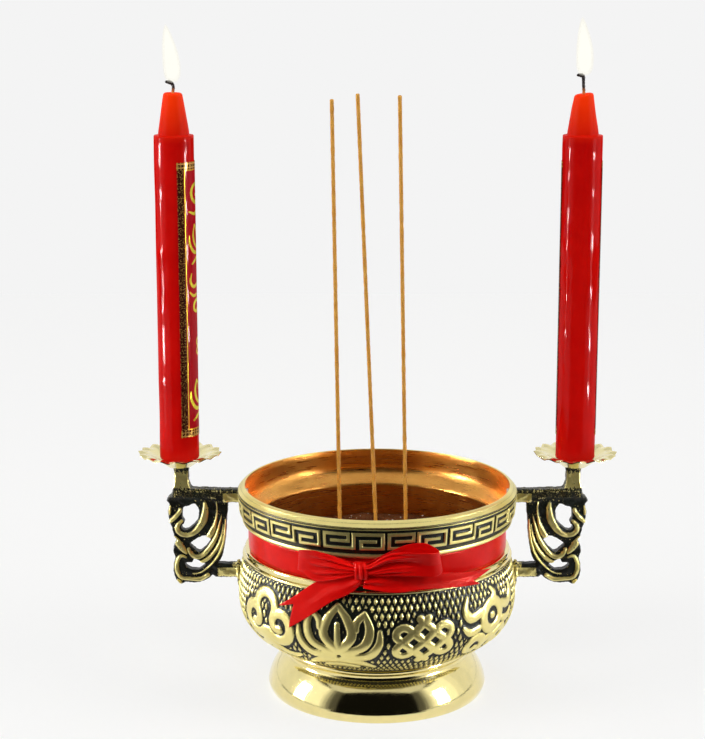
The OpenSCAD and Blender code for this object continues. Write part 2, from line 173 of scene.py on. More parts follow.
def sweepTube(path, radii, sides, closeEnds=True):
    # round tube along a path, with a cap at both ends
    path, radii = np.asarray(path, float), np.asarray(radii, float)
    along = np.gradient(path, axis=0)
    along /= np.linalg.norm(along, axis=1)[:, None]
    start = np.array([0, 1, 0.0])
    rings = []
    for p, d, r in zip(path, along, radii):
        side = np.cross(d, start)
        side /= np.linalg.norm(side)
        up = np.cross(side, d)
        start = up
        a = np.arange(sides) * 2 * math.pi / sides
        rings.append(p + r * (np.cos(a)[:, None] * side + np.sin(a)[:, None] * up))
    verts = np.concatenate(rings)
    faces = [tuple(f) for f in gridFaces(len(path), sides)]
    if closeEnds:
        faces += [tuple(range(sides))[::-1], tuple(range(len(verts) - sides, len(verts)))]
    return verts, faces


def revolve(profile, segments, shift=None, centre=(0, 0), lift=0.0):
    # closed ring of a profile of (r, z) points, shift moves each point (rows x segments x [outward, up])
    a = np.arange(segments) * 2 * math.pi / segments
    p = np.asarray(profile, float)
    r, z = [np.repeat(p[:, k:k + 1], segments, 1) for k in (0, 1)]
    if shift is not None:
        r, z = r + shift[..., 0], z + shift[..., 1]
    x, y = centre[0] + r * np.sin(a), centre[1] - r * np.cos(a)
    return np.stack([x, y, z + lift], -1).reshape(-1, 3), a


viewSet = {"lens": 97.43, "place": (-0.0133, -1.037, 0.4054), "pitch": 12.44}
lightSet = {
    "white": 0.905, "sky": 0.005, "diffuse share": 0.22,
    # soft lamps that only light matt surfaces: name, compass angle from the front, height angle, distance,
    # width, height, power
    "lamps": [("leftLamp", -66, 24, 1.5, 0.7, 0.9, 13.0), ("rightLamp", 68, 26, 1.5, 0.7, 0.9, 11.0),
              ("topLamp", 170, 78, 1.5, 1.2, 1.0, 8.0), ("frontLamp", -12, 48, 1.6, 0.8, 0.5, 5.5)],
    # glowing cards that only show in polished surfaces: name, first and last compass angle, low and high
    # edge, distance, glow
    "cards": [(side + part, *sorted((turn * a, turn * b)), 0.03, 1.25, 1.5, glow) for side,
        turn in (("left", -1), ("right", 1))
              for part, a, b,
              glow in (("Dim", 42, 50, 0.09), ("Rise", 50, 54, 0.25), ("Edge", 54, 58, 0.6),
                  ("Soft", 58, 61, 0.95), ("Card", 61, 92, 1.2),
                                       ("Fall", 92, 101, 0.98), ("Grey", 101, 122, 0.86))],
    "ceiling": 0.72,
    "streaks": [("leftStreak", -85.1, 13.0, 95.0), ("rightStreak", 70.0, 12.0, 95.0)],
}


def aim(obj, target):
    way = np.array(target, float) - np.array(obj.location, float)
    obj.rotation_euler = Vector(way).to_track_quat("-Z", "Y").to_euler()


def around(angle, distance):
    a = math.radians(angle)
    return distance * math.sin(a), -distance * math.cos(a)


def glowMaterial(name, strength, dashed=False):
    mat = bpy.data.materials.new(name)
    mat.use_nodes = True
    tree = mat.node_tree
    tree.nodes.clear()
    glow = tree.nodes.new("ShaderNodeEmission")
    glow.inputs["Strength"].default_value = strength
    out = tree.nodes.new("ShaderNodeOutputMaterial")
    tree.links.new(glow.outputs[0], out.inputs["Surface"])
    if dashed:
        # panes with dark bars between them
        place = tree.nodes.new("ShaderNodeTexCoord")
        noise = tree.nodes.new("ShaderNodeTexWave")
        noise.bands_direction = "Z"
        noise.inputs["Scale"].default_value = 8.6
        noise.inputs["Distortion"].default_value = 2.5
        ramp = tree.nodes.new("ShaderNodeMapRange")
        ramp.inputs["From Min"].default_value, ramp.inputs["From Max"].default_value = 0.60, 0.80
        ramp.inputs["To Min"].default_value, ramp.inputs["To Max"].default_value = 0.03 * strength, strength
        tree.links.new(place.outputs["Object"], noise.inputs["Vector"])
        tree.links.new(noise.outputs[0], ramp.inputs["Value"])
        tree.links.new(ramp.outputs[0], glow.inputs["Strength"])
    return mat


def addCard(name, verts, faces, glow, camera=False, glossy=True, dashed=False):
    card = makeMesh(name, verts, faces, materials=[glowMaterial(name, glow, dashed)])
    card.visible_camera, card.visible_glossy = camera, glossy
    card.visible_diffuse = card.visible_shadow = card.visible_transmission = False


def curvedCard(name, first, last, low, high, distance, glow, **seen):
    turns = np.linspace(first, last, max(2, int(abs(last - first) / 4) + 1))
    verts = [(*around(t, distance), z) for z in (low, high) for t in turns]
    addCard(name, verts, gridFaces(2, len(turns), closeCols=False), glow, **seen)


def buildStage():
    scene = bpy.context.scene
    data = bpy.data.cameras.new("photoCamera")
    data.lens, data.sensor_width = viewSet["lens"], 36
    camera = bpy.data.objects.new("photoCamera", data)
    camera.location = viewSet["place"]
    camera.rotation_euler = (math.radians(90 - viewSet["pitch"]), 0, 0)
    scene.collection.objects.link(camera)
    scene.camera = camera
    scene.view_settings.view_transform = "Standard"

    world = bpy.data.worlds.new("darkRoom")
    world.use_nodes = True
    world.node_tree.nodes["Background"].inputs["Strength"].default_value = lightSet["sky"]
    world.node_tree.nodes["Background"].inputs["Color"].default_value = (1, 1, 1, 1)
    scene.world = world

    for name, turn, height, distance, wide, tall, power in lightSet["lamps"]:
        lamp = bpy.data.lights.new(name, "AREA")
        lamp.shape, lamp.size, lamp.size_y, lamp.energy = "RECTANGLE", wide, tall, power
        box = bpy.data.objects.new(name, lamp)
        h = math.radians(height)
        box.location = (*around(turn, distance * math.cos(h)), 0.15 + distance * math.sin(h))
        aim(box, (0, 0, 0.15))
        box.visible_glossy = False
        scene.collection.objects.link(box)

    # white sweep: mostly glowing, so that shadows on it stay faint
    sweepMat = bpy.data.materials.new("whiteSweep")
    sweepMat.use_nodes = True
    shader = sweepMat.node_tree.nodes["Principled BSDF"]
    share = lightSet["diffuse share"]
    shader.inputs["Base Color"].default_value = (share, share, 0.97 * share, 1)
    shader.inputs["Roughness"].default_value = 0.9
    shader.inputs["Specular IOR Level"].default_value = 0
    shader.inputs["Emission Color"].default_value = (1, 1, 1, 1)
    shader.inputs["Emission Strength"].default_value = lightSet["white"] - share * 0.78
    # further back less lamplight falls on it, so it glows more
    back = addNode(sweepMat.node_tree, "SeparateXYZ",
        Vector=addNode(sweepMat.node_tree, "TexCoord").outputs["Object"]).outputs["Y"]
    low = lightSet["white"] - share * 0.78
    sweepMat.node_tree.links.new(remap(sweepMat.node_tree, back, -0.1, 1.2, low + 0.012, low + 0.10),
        shader.inputs["Emission Strength"])
    # near floor, with a wedge left out in front where the room is dark
    near = [(-0.11, -0.115, 0), (-0.8, -0.85, 0), (-1.2, -0.85, 0), (-1.2, 1.2, 0), (1.2, 1.2, 0),
        (1.2, -0.85, 0), (0.8, -0.85, 0), (0.11, -0.115, 0)]
    makeMesh("nearFloor", near, [(1, 2, 3, 0)[::-1], (0, 3, 4, 7)[::-1], (7, 4, 5, 6)[::-1]],
        materials=[sweepMat])
    white, s = lightSet["white"], 1.2
    far = [(-s, -s), (s, -s), (s, s), (-s, s)]
    verts = [(x, y, 0) for x, y in far] + [(3 * x, 3 * y, 0) for x, y in far]
    addCard("farFloor", verts, [(k, (k + 1) % 4, (k + 1) % 4 + 4, k + 4) for k in range(4)], white,
        camera=True, glossy=False)
    addCard("frontFloor",
        [(-s, -s, 0), (s, -s, 0), (s, -0.85, 0), (0.8, -0.85, 0), (0.11, -0.115, 0), (-0.11, -0.115, 0),
            (-0.8, -0.85, 0), (-s, -0.85, 0)],
            [(0, 1, 3, 6), (1, 2, 3), (0, 6, 7), (3, 4, 5, 6)], white, camera=True, glossy=False)
    curvedCard("backWall", 118, 242, 0, 3.0, 3.3, white, camera=True)
    curvedCard("frontWall", -118, 118, 0, 3.0, 3.3, white, camera=True, glossy=False)
    for name, first, last, low, high, distance, glow in lightSet["cards"]:
        curvedCard(name, first, last, low, high, distance, glow)
    for name, middle, wide, glow in lightSet["streaks"]:
        curvedCard(name, middle - wide / 2, middle + wide / 2, 0.03, 0.34, 0.62, glow, dashed=True)
    addCard("ceiling", [(-1.5, -1.35, 1.5), (1.5, -1.35, 1.5), (1.5, 1.5, 1.5), (-1.5, 1.5, 1.5)],
        [(0, 1, 2, 3)], lightSet["ceiling"])
    print("stage ready")


def startMaterial(name, **sockets):
    mat = bpy.data.materials.new(name)
    mat.use_nodes = True
    shader = mat.node_tree.nodes["Principled BSDF"]
    for key, value in sockets.items():
        key = key.replace("_", " ")
        shader.inputs[key].default_value = (*value, 1) if isinstance(value,
            tuple) and len(value) == 3 else value
    return mat, mat.node_tree, shader


def addNode(tree, kind, settings=(), **inputs):
    node = tree.nodes.new("ShaderNode" + kind)
    for key, value in dict(settings).items():
        setattr(node, key, value)
    for key, value in inputs.items():
        socket = node.inputs[key.replace("_", " ")]
        if isinstance(value, bpy.types.NodeSocket):
            tree.links.new(value, socket)
        else:
            socket.default_value = value
    return node


def noiseOf(tree, scale, detail=4, roughness=0.55, stretch=(1, 1, 1)):
    # noise in the object's own metres; scale is bumps per metre
    place = addNode(tree, "TexCoord").outputs["Object"]
    if stretch != (1, 1, 1):
        place = addNode(tree, "Mapping", Vector=place, Scale=stretch).outputs[0]
    return addNode(tree, "TexNoise", Vector=place, Scale=scale, Detail=detail,
        Roughness=roughness).outputs[0]


def remap(tree, value, low, high, toLow=0.0, toHigh=1.0):
    node = addNode(tree, "MapRange", Value=value)
    for key, number in (("From Min", low), ("From Max", high), ("To Min", toLow), ("To Max", toHigh)):
        node.inputs[key].default_value = number
    return node.outputs[0]


def mixColour(tree, factor, a, b):
    node = tree.nodes.new("ShaderNodeMix")
    node.data_type = "RGBA"
    sockets = [s for s in node.inputs if s.enabled]
    for socket, value in zip(sockets, (factor, a, b)):
        if isinstance(value, bpy.types.NodeSocket):
            tree.links.new(value, socket)
        else:
            socket.default_value = (*value, 1) if isinstance(value, tuple) else value
    return [s for s in node.outputs if s.enabled][0]


def mathOf(tree, operation, a, b):
    node = addNode(tree, "Math", {"operation": operation})
    for socket, value in zip(node.inputs, (a, b)):
        if isinstance(value, bpy.types.NodeSocket):
            tree.links.new(value, socket)
        else:
            socket.default_value = value
    return node.outputs[0]


def addBump(tree, shader, height, distance, strength=1.0, under=None):
    bump = addNode(tree, "Bump", Height=height, Distance=distance, Strength=strength)
    if under is not None:
        tree.links.new(under, bump.inputs["Normal"])
    tree.links.new(bump.outputs[0], shader.inputs["Normal"])
    return bump.outputs[0]


brassSet = {
    "gold": (0.90, 0.78, 0.30), "worn gold": (0.74, 0.60, 0.20),
    "patina": (0.006, 0.006, 0.004), "green patina": (0.009, 0.012, 0.008),
    # inside: deeper orange than the outer gold, a painted reflection of light bouncing inside the bowl
    "polished": (0.90, 0.77, 0.34), "pan": (0.90, 0.80, 0.40), "inside": (0.84, 0.42, 0.095),
    "grain": 2200, "cloudy": 90,
}


def antiqueBrass():
    # satin gold where the "polish" value is high, blackened brass in the recesses
    mat, tree, shader = startMaterial("antiqueBrass")
    polish = addNode(tree, "Attribute", {"attribute_name": "polish"}).outputs["Fac"]
    fine = noiseOf(tree, brassSet["grain"], 3)
    cloudy = noiseOf(tree, brassSet["cloudy"], 3)
    rubbed = mathOf(tree, "ADD", polish, remap(tree, fine, 0.3, 0.7, -0.16, 0.16))
    rubbed = remap(tree, rubbed, 0.34, 0.66)
    gold = mixColour(tree, remap(tree, cloudy, 0.35, 0.65, 0, 0.35), brassSet["gold"],
        brassSet["worn gold"])
    dark = mixColour(tree, remap(tree, cloudy, 0.4, 0.6), brassSet["patina"], brassSet["green patina"])
    tree.links.new(mixColour(tree, rubbed, dark, gold), shader.inputs["Base Color"])
    tree.links.new(remap(tree, rubbed, 0, 1, 0.12, 0.82), shader.inputs["Metallic"])
    tree.links.new(remap(tree, rubbed, 0, 1, 0.36, 0.30), shader.inputs["Roughness"])
    shader.inputs["Specular IOR Level"].default_value = 0.3
    addBump(tree, shader, fine, 0.00012, 0.6)
    return mat


def polishedBrass(name="polishedBrass", colour="polished", roughness=0.06, wear=0.05):
    mat, tree, shader = startMaterial(name, Metallic=1.0, Coat_Weight=0.5, Coat_Roughness=0.05)
    cloudy = noiseOf(tree, 140, 5, 0.6)
    fine = noiseOf(tree, 900, 3, stretch=(0.25, 0.25, 5))
    base = brassSet[colour]
    tree.links.new(mixColour(tree, remap(tree, cloudy, 0.3, 0.7, 0, 0.5), base,
        tuple(0.84 * c for c in base)), shader.inputs["Base Color"])
    tree.links.new(remap(tree, cloudy, 0.3, 0.75, roughness, roughness + wear), shader.inputs["Roughness"])
    addBump(tree, shader, fine, 0.00002, 0.5)
    return mat


def turnedBrass():
    # inside of the bowl: fine rings left by turning; its deep orange, in cloudy lighter and darker patches, is
    # painted reflection of light bouncing between the inner walls
    mat, tree, shader = startMaterial("turnedBrass", Metallic=1.0)
    rings = noiseOf(tree, 1500, 3, stretch=(0.05, 0.05, 1))
    cloudy = noiseOf(tree, 60, 5, 0.6)
    # painted reflection: deep orange standing in for light bounced between the inner walls
    warm = mixColour(tree, remap(tree, cloudy, 0.35, 0.7), brassSet["inside"], (0.66, 0.29, 0.06))
    tree.links.new(warm, shader.inputs["Base Color"])
    tree.links.new(remap(tree, rings, 0.3, 0.7, 0.24, 0.36), shader.inputs["Roughness"])
    addBump(tree, shader, rings, 0.00005, 0.5)
    return mat


def screwSteel():
    mat, tree, shader = startMaterial("screwSteel", Metallic=1.0)
    scratch = noiseOf(tree, 1800, 4)
    tree.links.new(mixColour(tree, scratch, (0.52, 0.52, 0.50), (0.72, 0.72, 0.70)),
        shader.inputs["Base Color"])
    tree.links.new(remap(tree, scratch, 0.3, 0.7, 0.2, 0.38), shader.inputs["Roughness"])
    addBump(tree, shader, scratch, 0.00003, 0.5)
    return mat


print("tools and materials ready")
buildStage()
antique, polished = antiqueBrass(), polishedBrass()
panBrass, insideBrass, steel = polishedBrass("panBrass", "pan", 0.16, 0.1), turnedBrass(), screwSteel()


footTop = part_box("bowl")[0].z / mm
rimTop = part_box("bowl")[1].z / mm - footTop
bowlSet = {
    "base r": 50.5, "belly r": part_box("bowl")[1].y / mm, "widest z": 30.0, "belly top z": 49.5,
    "shoulder r": 72.2,
    "low power": 2.6, "shoulder power": 2.2, "collar z": 68.0, "rim r": 75.0, "rim slope": 2.8, "lip": 4.0,
    "relief": 1.15, "lozenges round": 140, "lozenge height": 8.0, "lozenge size": 0.275, "outline": 1.35,
    "motif size": 1.2, "motif centre": -6.6, "motif angles": (-52, -16.5, 18.5, 53.5),
    "fret pairs": 14, "fret start": 3.3, "fret low": 73.2, "fret line": 0.84, "recess": 0.8,
}


def spiral(cx, cy, r0, r1, a0, a1, w0, w1, n=22):
    t = np.linspace(0, 1, n)
    a, r = np.radians(a0 + (a1 - a0) * t), r0 + (r1 - r0) * t
    return np.stack([cx + r * np.cos(a), cy + r * np.sin(a), w0 + (w1 - w0) * t], 1)


def brush(*points):
    return catmull(points, 6)


def mirrored(strokes):
    return strokes + [s * np.array([-1, 1, 1]) for s in strokes]


def cloudMotif():
    curls = mirrored([
        spiral(-8.6, 2.5, 9.0, 2.4, -35, -460, 2.7, 1.9),
        brush((-1, -6, 2.2), (-6, -11.5, 2.4), (-12, -13.5, 2.0), (-18, -11.5, 1.0))])
    return curls + [spiral(0, 9.2, 6.4, 6.4, 205, -25, 2.3, 2.3),
        brush((0, -3, 2.4), (0, -9, 2.6), (0, -15.5, 1.6))]


def lotusMotif():
    petals = mirrored([
        brush((0, -5, 2), (-6.2, 2.5, 2.1), (-4.6, 10, 1.9), (0, 16.4, 1.3)),
        brush((-2, -6, 1.8), (-11.5, -1.5, 2.1), (-14.2, 6, 1.9), (-12, 13.4, 1.2)),
        brush((-12, 13.4, 1.2), (-8.6, 9.6, 1.6), (-8.2, 6, 1.4)),
        brush((-3, -8, 2), (-13, -7.2, 2.3), (-18, -1, 1.8), (-18.6, 5.4, 1.0)),
        brush((-1, -10.5, 2.2), (-9, -12, 2.3), (-16, -15.8, 1.2))])
    return petals + [brush((0, -4, 1.6), (0, 8, 1.2)),
        brush((-8, -16.4, 1.3), (0, -14.8, 2), (8, -16.4, 1.3))]


def knotMotif():
    flat, reach, step, w = [], 8.6, 6.2, 1.75
    for k in (-1, 0, 1):
        flat.append([(k * step, -reach, w), (k * step, reach, w)])
        flat.append([(-reach, k * step, w), (reach, k * step, w)])
    for sign in (-1, 1):
        for cx, cy, turn in ((-sign * step / 2, sign * reach, 0), (sign * reach, -sign * step / 2, -90)):
            a0 = turn + (0 if sign > 0 else 180)
            flat.append(spiral(cx, cy, step / 2, step / 2, a0, a0 + 180, w, w, 10))
    c = math.sqrt(0.5)
    return [np.stack([(s[:, 0] - s[:, 1]) * c * 1.12, (s[:, 0] + s[:, 1]) * c, s[:, 2]], 1)
        for s in map(np.array, flat)]


def pearlMotif():
    waves = mirrored([
        spiral(-10.2, -9.2, 6.6, 2.2, -20, 330, 2.4, 1.7),
        brush((-8, 8, 2), (-14.2, 6.4, 2.2), (-17.8, 10.4, 1.8), (-16.5, 16, 0.9)),
        brush((-9.5, 0.5, 1.6), (-14.5, -0.4, 1.8), (-18.6, 2.6, 0.9))])
    ring = [spiral(0, 4.6, 6.4, 6.4, 0, 360, 2.3, 2.3, 28), spiral(0, 4.6, 0.4, 0.4, 0, 360, 1.3, 1.3, 6)]
    return waves + ring + [brush((0, 11, 2.2), (1.6, 14.4, 1.6), (-0.8, 17.4, 0.7)),
        brush((-3.6, -9.6, 2), (0, -5.6, 2), (3.6, -9.6, 2))]


def bellyLine(rows):
    # points up the belly, evenly spaced along the curve, with each point's distance from the widest line
    b = bowlSet
    drop = b["widest z"] / (1 - (b["base r"] / b["belly r"]) ** b["low power"]) ** (1 / b["low power"])
    z = np.linspace(0.05, b["belly top z"], 4000)
    low = b["belly r"] * (1 - np.clip((b["widest z"] - z) / drop, 0, 1) ** b["low power"]) ** (1
        / b["low power"])
    up = np.clip((z - b["widest z"]) / (b["belly top z"] - b["widest z"]), 0, 1) ** b["shoulder power"]
    r = np.where(z < b["widest z"], low, b["belly r"] - (b["belly r"] - b["shoulder r"]) * up)
    run = np.concatenate([[0], np.cumsum(np.hypot(np.diff(r), np.diff(z)))])
    even = np.linspace(0, run[-1], rows)
    r, z = np.interp(even, run, r), np.interp(even, run, z)
    return r, z, even - np.interp(b["widest z"], z, even)


def buildBelly():
    b = bowlSet
    segments, rows = 900, 96
    r, z, up = bellyLine(rows)
    angle = np.arange(segments) * 2 * math.pi / segments
    a, t = np.meshgrid(angle, up)
    # crossing grooves leave lozenges; they stop at the top and bottom borders
    u, v = a / (2 * math.pi) * b["lozenges round"], t / b["lozenge height"]
    side = np.maximum(np.abs((u + v) % 1 - 0.5), np.abs((u - v) % 1 - 0.5))
    lozenge = 1 - smoothStep(b["lozenge size"] - 0.05, b["lozenge size"] + 0.07, side)
    border = smoothStep(up[0] + 1.2, up[0] + 2.0, t) * smoothStep(up[-1] - 0.7, up[-1] - 1.4, t)
    lozenge *= border
    near = np.full(a.shape, 99.0)
    motifs = [cloudMotif(), lotusMotif(), knotMotif(), pearlMotif()]
    for half in (0, 180):
        for motif, middle in zip(motifs, b["motif angles"]):
            across = (a - math.radians(middle + half) + math.pi) % (2 * math.pi) - math.pi
            x, y = across * b["belly r"] / b["motif size"], (t - b["motif centre"]) / b["motif size"]
            inside = (abs(x) < 23) & (abs(y) < 21)
            d = np.min([strokeDistance(x[inside], y[inside], s) for s in motif], axis=0) * b["motif size"]
            near[inside] = np.minimum(near[inside], d)
    # the bottom pair of rows turns in under the pot, so strokes thin out with it
    raised = 1 - smoothStep(-0.35, 0.35, near)
    field = lozenge * smoothStep(b["outline"], b["outline"] + 0.6, near)
    dome = 0.22 * (1 - smoothStep(0, 2.2, -near)) * raised
    depth = b["relief"] * (1 - np.maximum(raised - dome, 0.80 * field))
    depth *= smoothStep(up[0], up[0] + 1.0, t) * smoothStep(up[-1], up[-1] - 0.5, t)
    slopeR, slopeZ = np.gradient(r), np.gradient(z)
    size = np.hypot(slopeR, slopeZ)
    outward = np.stack([slopeZ / size, -slopeR / size], 1)
    shift = -depth[..., None] * outward[:, None, :]
    inner = np.stack([r[::-12] - 3.0, z[::-12] + 1.2], 1)
    inner[:, 1] = np.minimum(inner[:, 1], b["belly top z"])
    inner[-1, 1] = 1.2
    profile = np.concatenate([np.stack([r, z], 1), inner])
    shift = np.concatenate([shift, np.zeros((len(inner), segments, 2))])
    verts, _ = revolve(profile, segments, shift, lift=footTop)
    obj = makeMesh("bowlBelly", verts * mm, gridFaces(len(profile), segments, closeRows=True), 180,
        [antique])
    edge = 1 - smoothStep(up[0] + 0.8, up[0] + 1.3, t) * smoothStep(up[-1] - 0.3, up[-1] - 0.8, t)
    polish = np.maximum.reduce([raised, 0.92 * field, edge])
    setAttribute(obj, "polish", np.concatenate([polish.ravel(), np.zeros(len(inner) * segments)]))
    addPiece(obj, "root", "antique_brass", "bowl")
    print("belly", len(obj.data.polygons))


def fretMask(along, z):
    # 1 on the raised key line; along is millimetres into one pair of keys
    key = np.array([(4.6, 4.5), (13.4, 4.5), (13.4, 8.2), (0.9, 8.2), (0.9, 0.8), (16.1, 0.8), (16.1, 8.2),
                    (31.0, 8.2), (31.0, 0.8), (19.9, 0.8), (19.9, 4.5), (27.2, 4.5)])
    best = np.full(along.shape, 99.0)
    y = z - bowlSet["fret low"]
    for (ax, ay), (bx, by) in zip(key[:-1], key[1:]):
        dx = np.maximum(np.maximum(min(ax, bx) - along, along - max(ax, bx)), 0)
        dy = np.maximum(np.maximum(min(ay, by) - y, y - max(ay, by)), 0)
        best = np.minimum(best, np.maximum(dx, dy))
    return 1 - smoothStep(bowlSet["fret line"] - 0.12, bowlSet["fret line"] + 0.14, best)


def buildCollar():
    b = bowlSet
    segments = 1120
    top = rimTop
    steady = lambda z: np.interp(z, [69.4, 74, 82.2, 89], [72.3, 74.2, b["rim r"], b["rim r"]])
    levels = np.concatenate([np.linspace(70.5, 70.9, 3), np.linspace(71.2, 72.2, 4),
        np.linspace(72.4, 83.3, 38), np.linspace(83.45, 84.85, 10)])
    bead = [(70.9 + 1.4 * math.sin(q), 69.35 - 1.35 * math.cos(q))
        for q in np.radians([0, 30, 60, 90, 120, 150])]
    bead = [(r + 0.25 * (z - b["collar z"]), z) for r, z in bead]
    outer, inner = b["rim r"], b["rim r"] - b["lip"]
    low = top - b["rim slope"]
    lipOut = [(outer, low - 0.45), (outer - 0.12, low - 0.2), (outer - 0.45, low + 0.1)]
    lipOut += [(outer - 0.45 - t * (b["lip"] - 1.0),
        low + 0.1 + (b["rim slope"] - 0.15) * math.sin(t * 1.35) / math.sin(1.35)
        - (0.22 if t == 0.44 else 0)) for t in (0.15, 0.3, 0.38, 0.44, 0.5, 0.65, 0.8, 1.0)]
    lipIn = [(inner + 0.28, top), (inner + 0.08, top - 0.12), (inner, top - 0.4)]
    inside = [(71.0, 84), (71.0, 79.5), (70.95, 78.2), (70.75, 76.9), (70.3, 75.5), (69.6, 74.2),
        (68.7, 72.9), (67.7, 71.8), (66.8, 70.8), (66.0, 69.7), (65.5, 68.9), (65.2, b["collar z"])]
    profile = np.array([(68.4, b["collar z"]), (70.4, b["collar z"])] + bead
        + [(steady(z), z) for z in levels] + lipOut + lipIn + inside)
    angle = np.arange(segments) * 2 * math.pi / segments
    z = np.repeat(profile[:, 1:2], segments, 1)
    outside = np.zeros(len(profile), bool)
    outside[2 + len(bead):2 + len(bead) + len(levels)] = True
    turnLength = 2 * math.pi * (b["rim r"] - 1) / b["fret pairs"]
    mask = fretMask(np.mod((angle[None, :] - math.radians(b["fret start"])) * (b["rim r"] - 1), turnLength), z)
    line = smoothStep(83.55, 83.7, z) * (1 - smoothStep(84.1, 84.25, z))
    foot = 1 - smoothStep(70.5, 70.8, z)
    high = smoothStep(84.55, 84.75, z)
    raised = np.where(outside[:, None], np.maximum.reduce([mask, line, foot, high]), 1.0)
    shift = np.zeros(z.shape + (2,))
    shift[..., 0] = -b["recess"] * (1 - raised)
    verts, _ = revolve(profile, segments, shift, lift=footTop)
    faces = gridFaces(len(profile), segments, closeRows=True)
    row = faces[:, 0] // segments
    insideRow = 2 + len(bead) + len(levels) + len(lipOut) + len(lipIn) - 1
    slots = (row >= insideRow).astype(int)
    obj = makeMesh("bowlCollar", verts * mm, faces, 55, [antique, insideBrass], slots)
    # darker just under the lip and in the groove on it: painted shade along the lip's lower edge and in its
    # groove
    first = 2 + len(bead) + len(levels)
    raised[first], raised[first + 1], raised[first + 6] = 0.0, 0.35, 0.45
    setAttribute(obj, "polish", raised.ravel())
    addPiece(obj, "root", "antique_brass", "bowl")
    print("collar", len(obj.data.polygons))


def buildNeck():
    bead = [(72.25 + 0.5 * math.sin(q), 50.0 - 0.55 * math.cos(q)) for q in np.radians(range(0, 181, 30))]
    step = [(71.5, 50.9),
        (71.6, 52.2)] + [(70.3 + 1.3 * math.cos(q), 52.7 + 1.3 * math.sin(q))
            for q in np.radians(range(0, 91, 15))]
    wall = [(69.2, 54.0), (68.75, 54.15), (68.6, 54.6), (68.6, 61), (68.6, 68.3), (65.2, 68.3), (65.2, 60),
        (65.2, 49.2), (68, 49.2), (71.4, 49.3)]
    profile = bead + step + wall
    segments = 360
    verts, _ = revolve(profile, segments, lift=footTop)
    faces = gridFaces(len(profile), segments, closeRows=True)
    row = faces[:, 0] // segments
    inner = len(bead) + len(step) + 5
    obj = makeMesh("bowlNeck", verts * mm, faces, 50, [polished, insideBrass],
        ((row >= inner) & (row < inner + 2)).astype(int))
    addPiece(obj, "root", "antique_brass", "bowl")
    print("neck", len(obj.data.polygons))


def buildFoot():
    # a lip under the belly, a hollow band, and a bell-shaped mirror face down to the table
    top = footTop
    outer = [(48.6, top), (50.6, top), (51.2, top - 0.5), (51.4, top - 1.3), (51.1, top - 2.2),
        (50.2, top - 3.0), (49.9, top - 4.0), (50.0, top - 5.2), (50.6, top - 6.2)]
    flareTop = top - 6.9
    flare = lambda t: (59.2 - 7.5 * (0.32 * t + 0.68 * t ** 2.1), 4.6 + (flareTop - 4.6) * t)
    outside = [flare(t) for t in np.linspace(1, 0, 30)]
    edge = [(59.15, 3.8), (58.95, 2.9), (58.6, 1.9), (58.15, 1.0), (57.7, 0.35), (57.3, 0.05), (56.9, 0.0),
        (55.2, 0.0), (55.0, 0.5)]
    inner = [(flare(t)[0] - 3.2, flare(t)[1] - 1.0 * t)
        for t in np.linspace(0.02, 1, 12)] + [(46.6, top - 3.6), (40, top - 3.6), (3.2, top - 3.6),
            (3.2, top)]
    profile = outer + outside + edge + inner
    verts, _ = revolve(profile, 384)
    obj = makeMesh("footRing", verts * mm, gridFaces(len(profile), 384, closeRows=True)[:, ::-1], 40,
        [polished])
    addPiece(obj, "root", "polished_brass", "foot_ring")
    print("foot", len(obj.data.polygons))


buildBelly()
buildCollar()
buildNeck()
buildFoot()


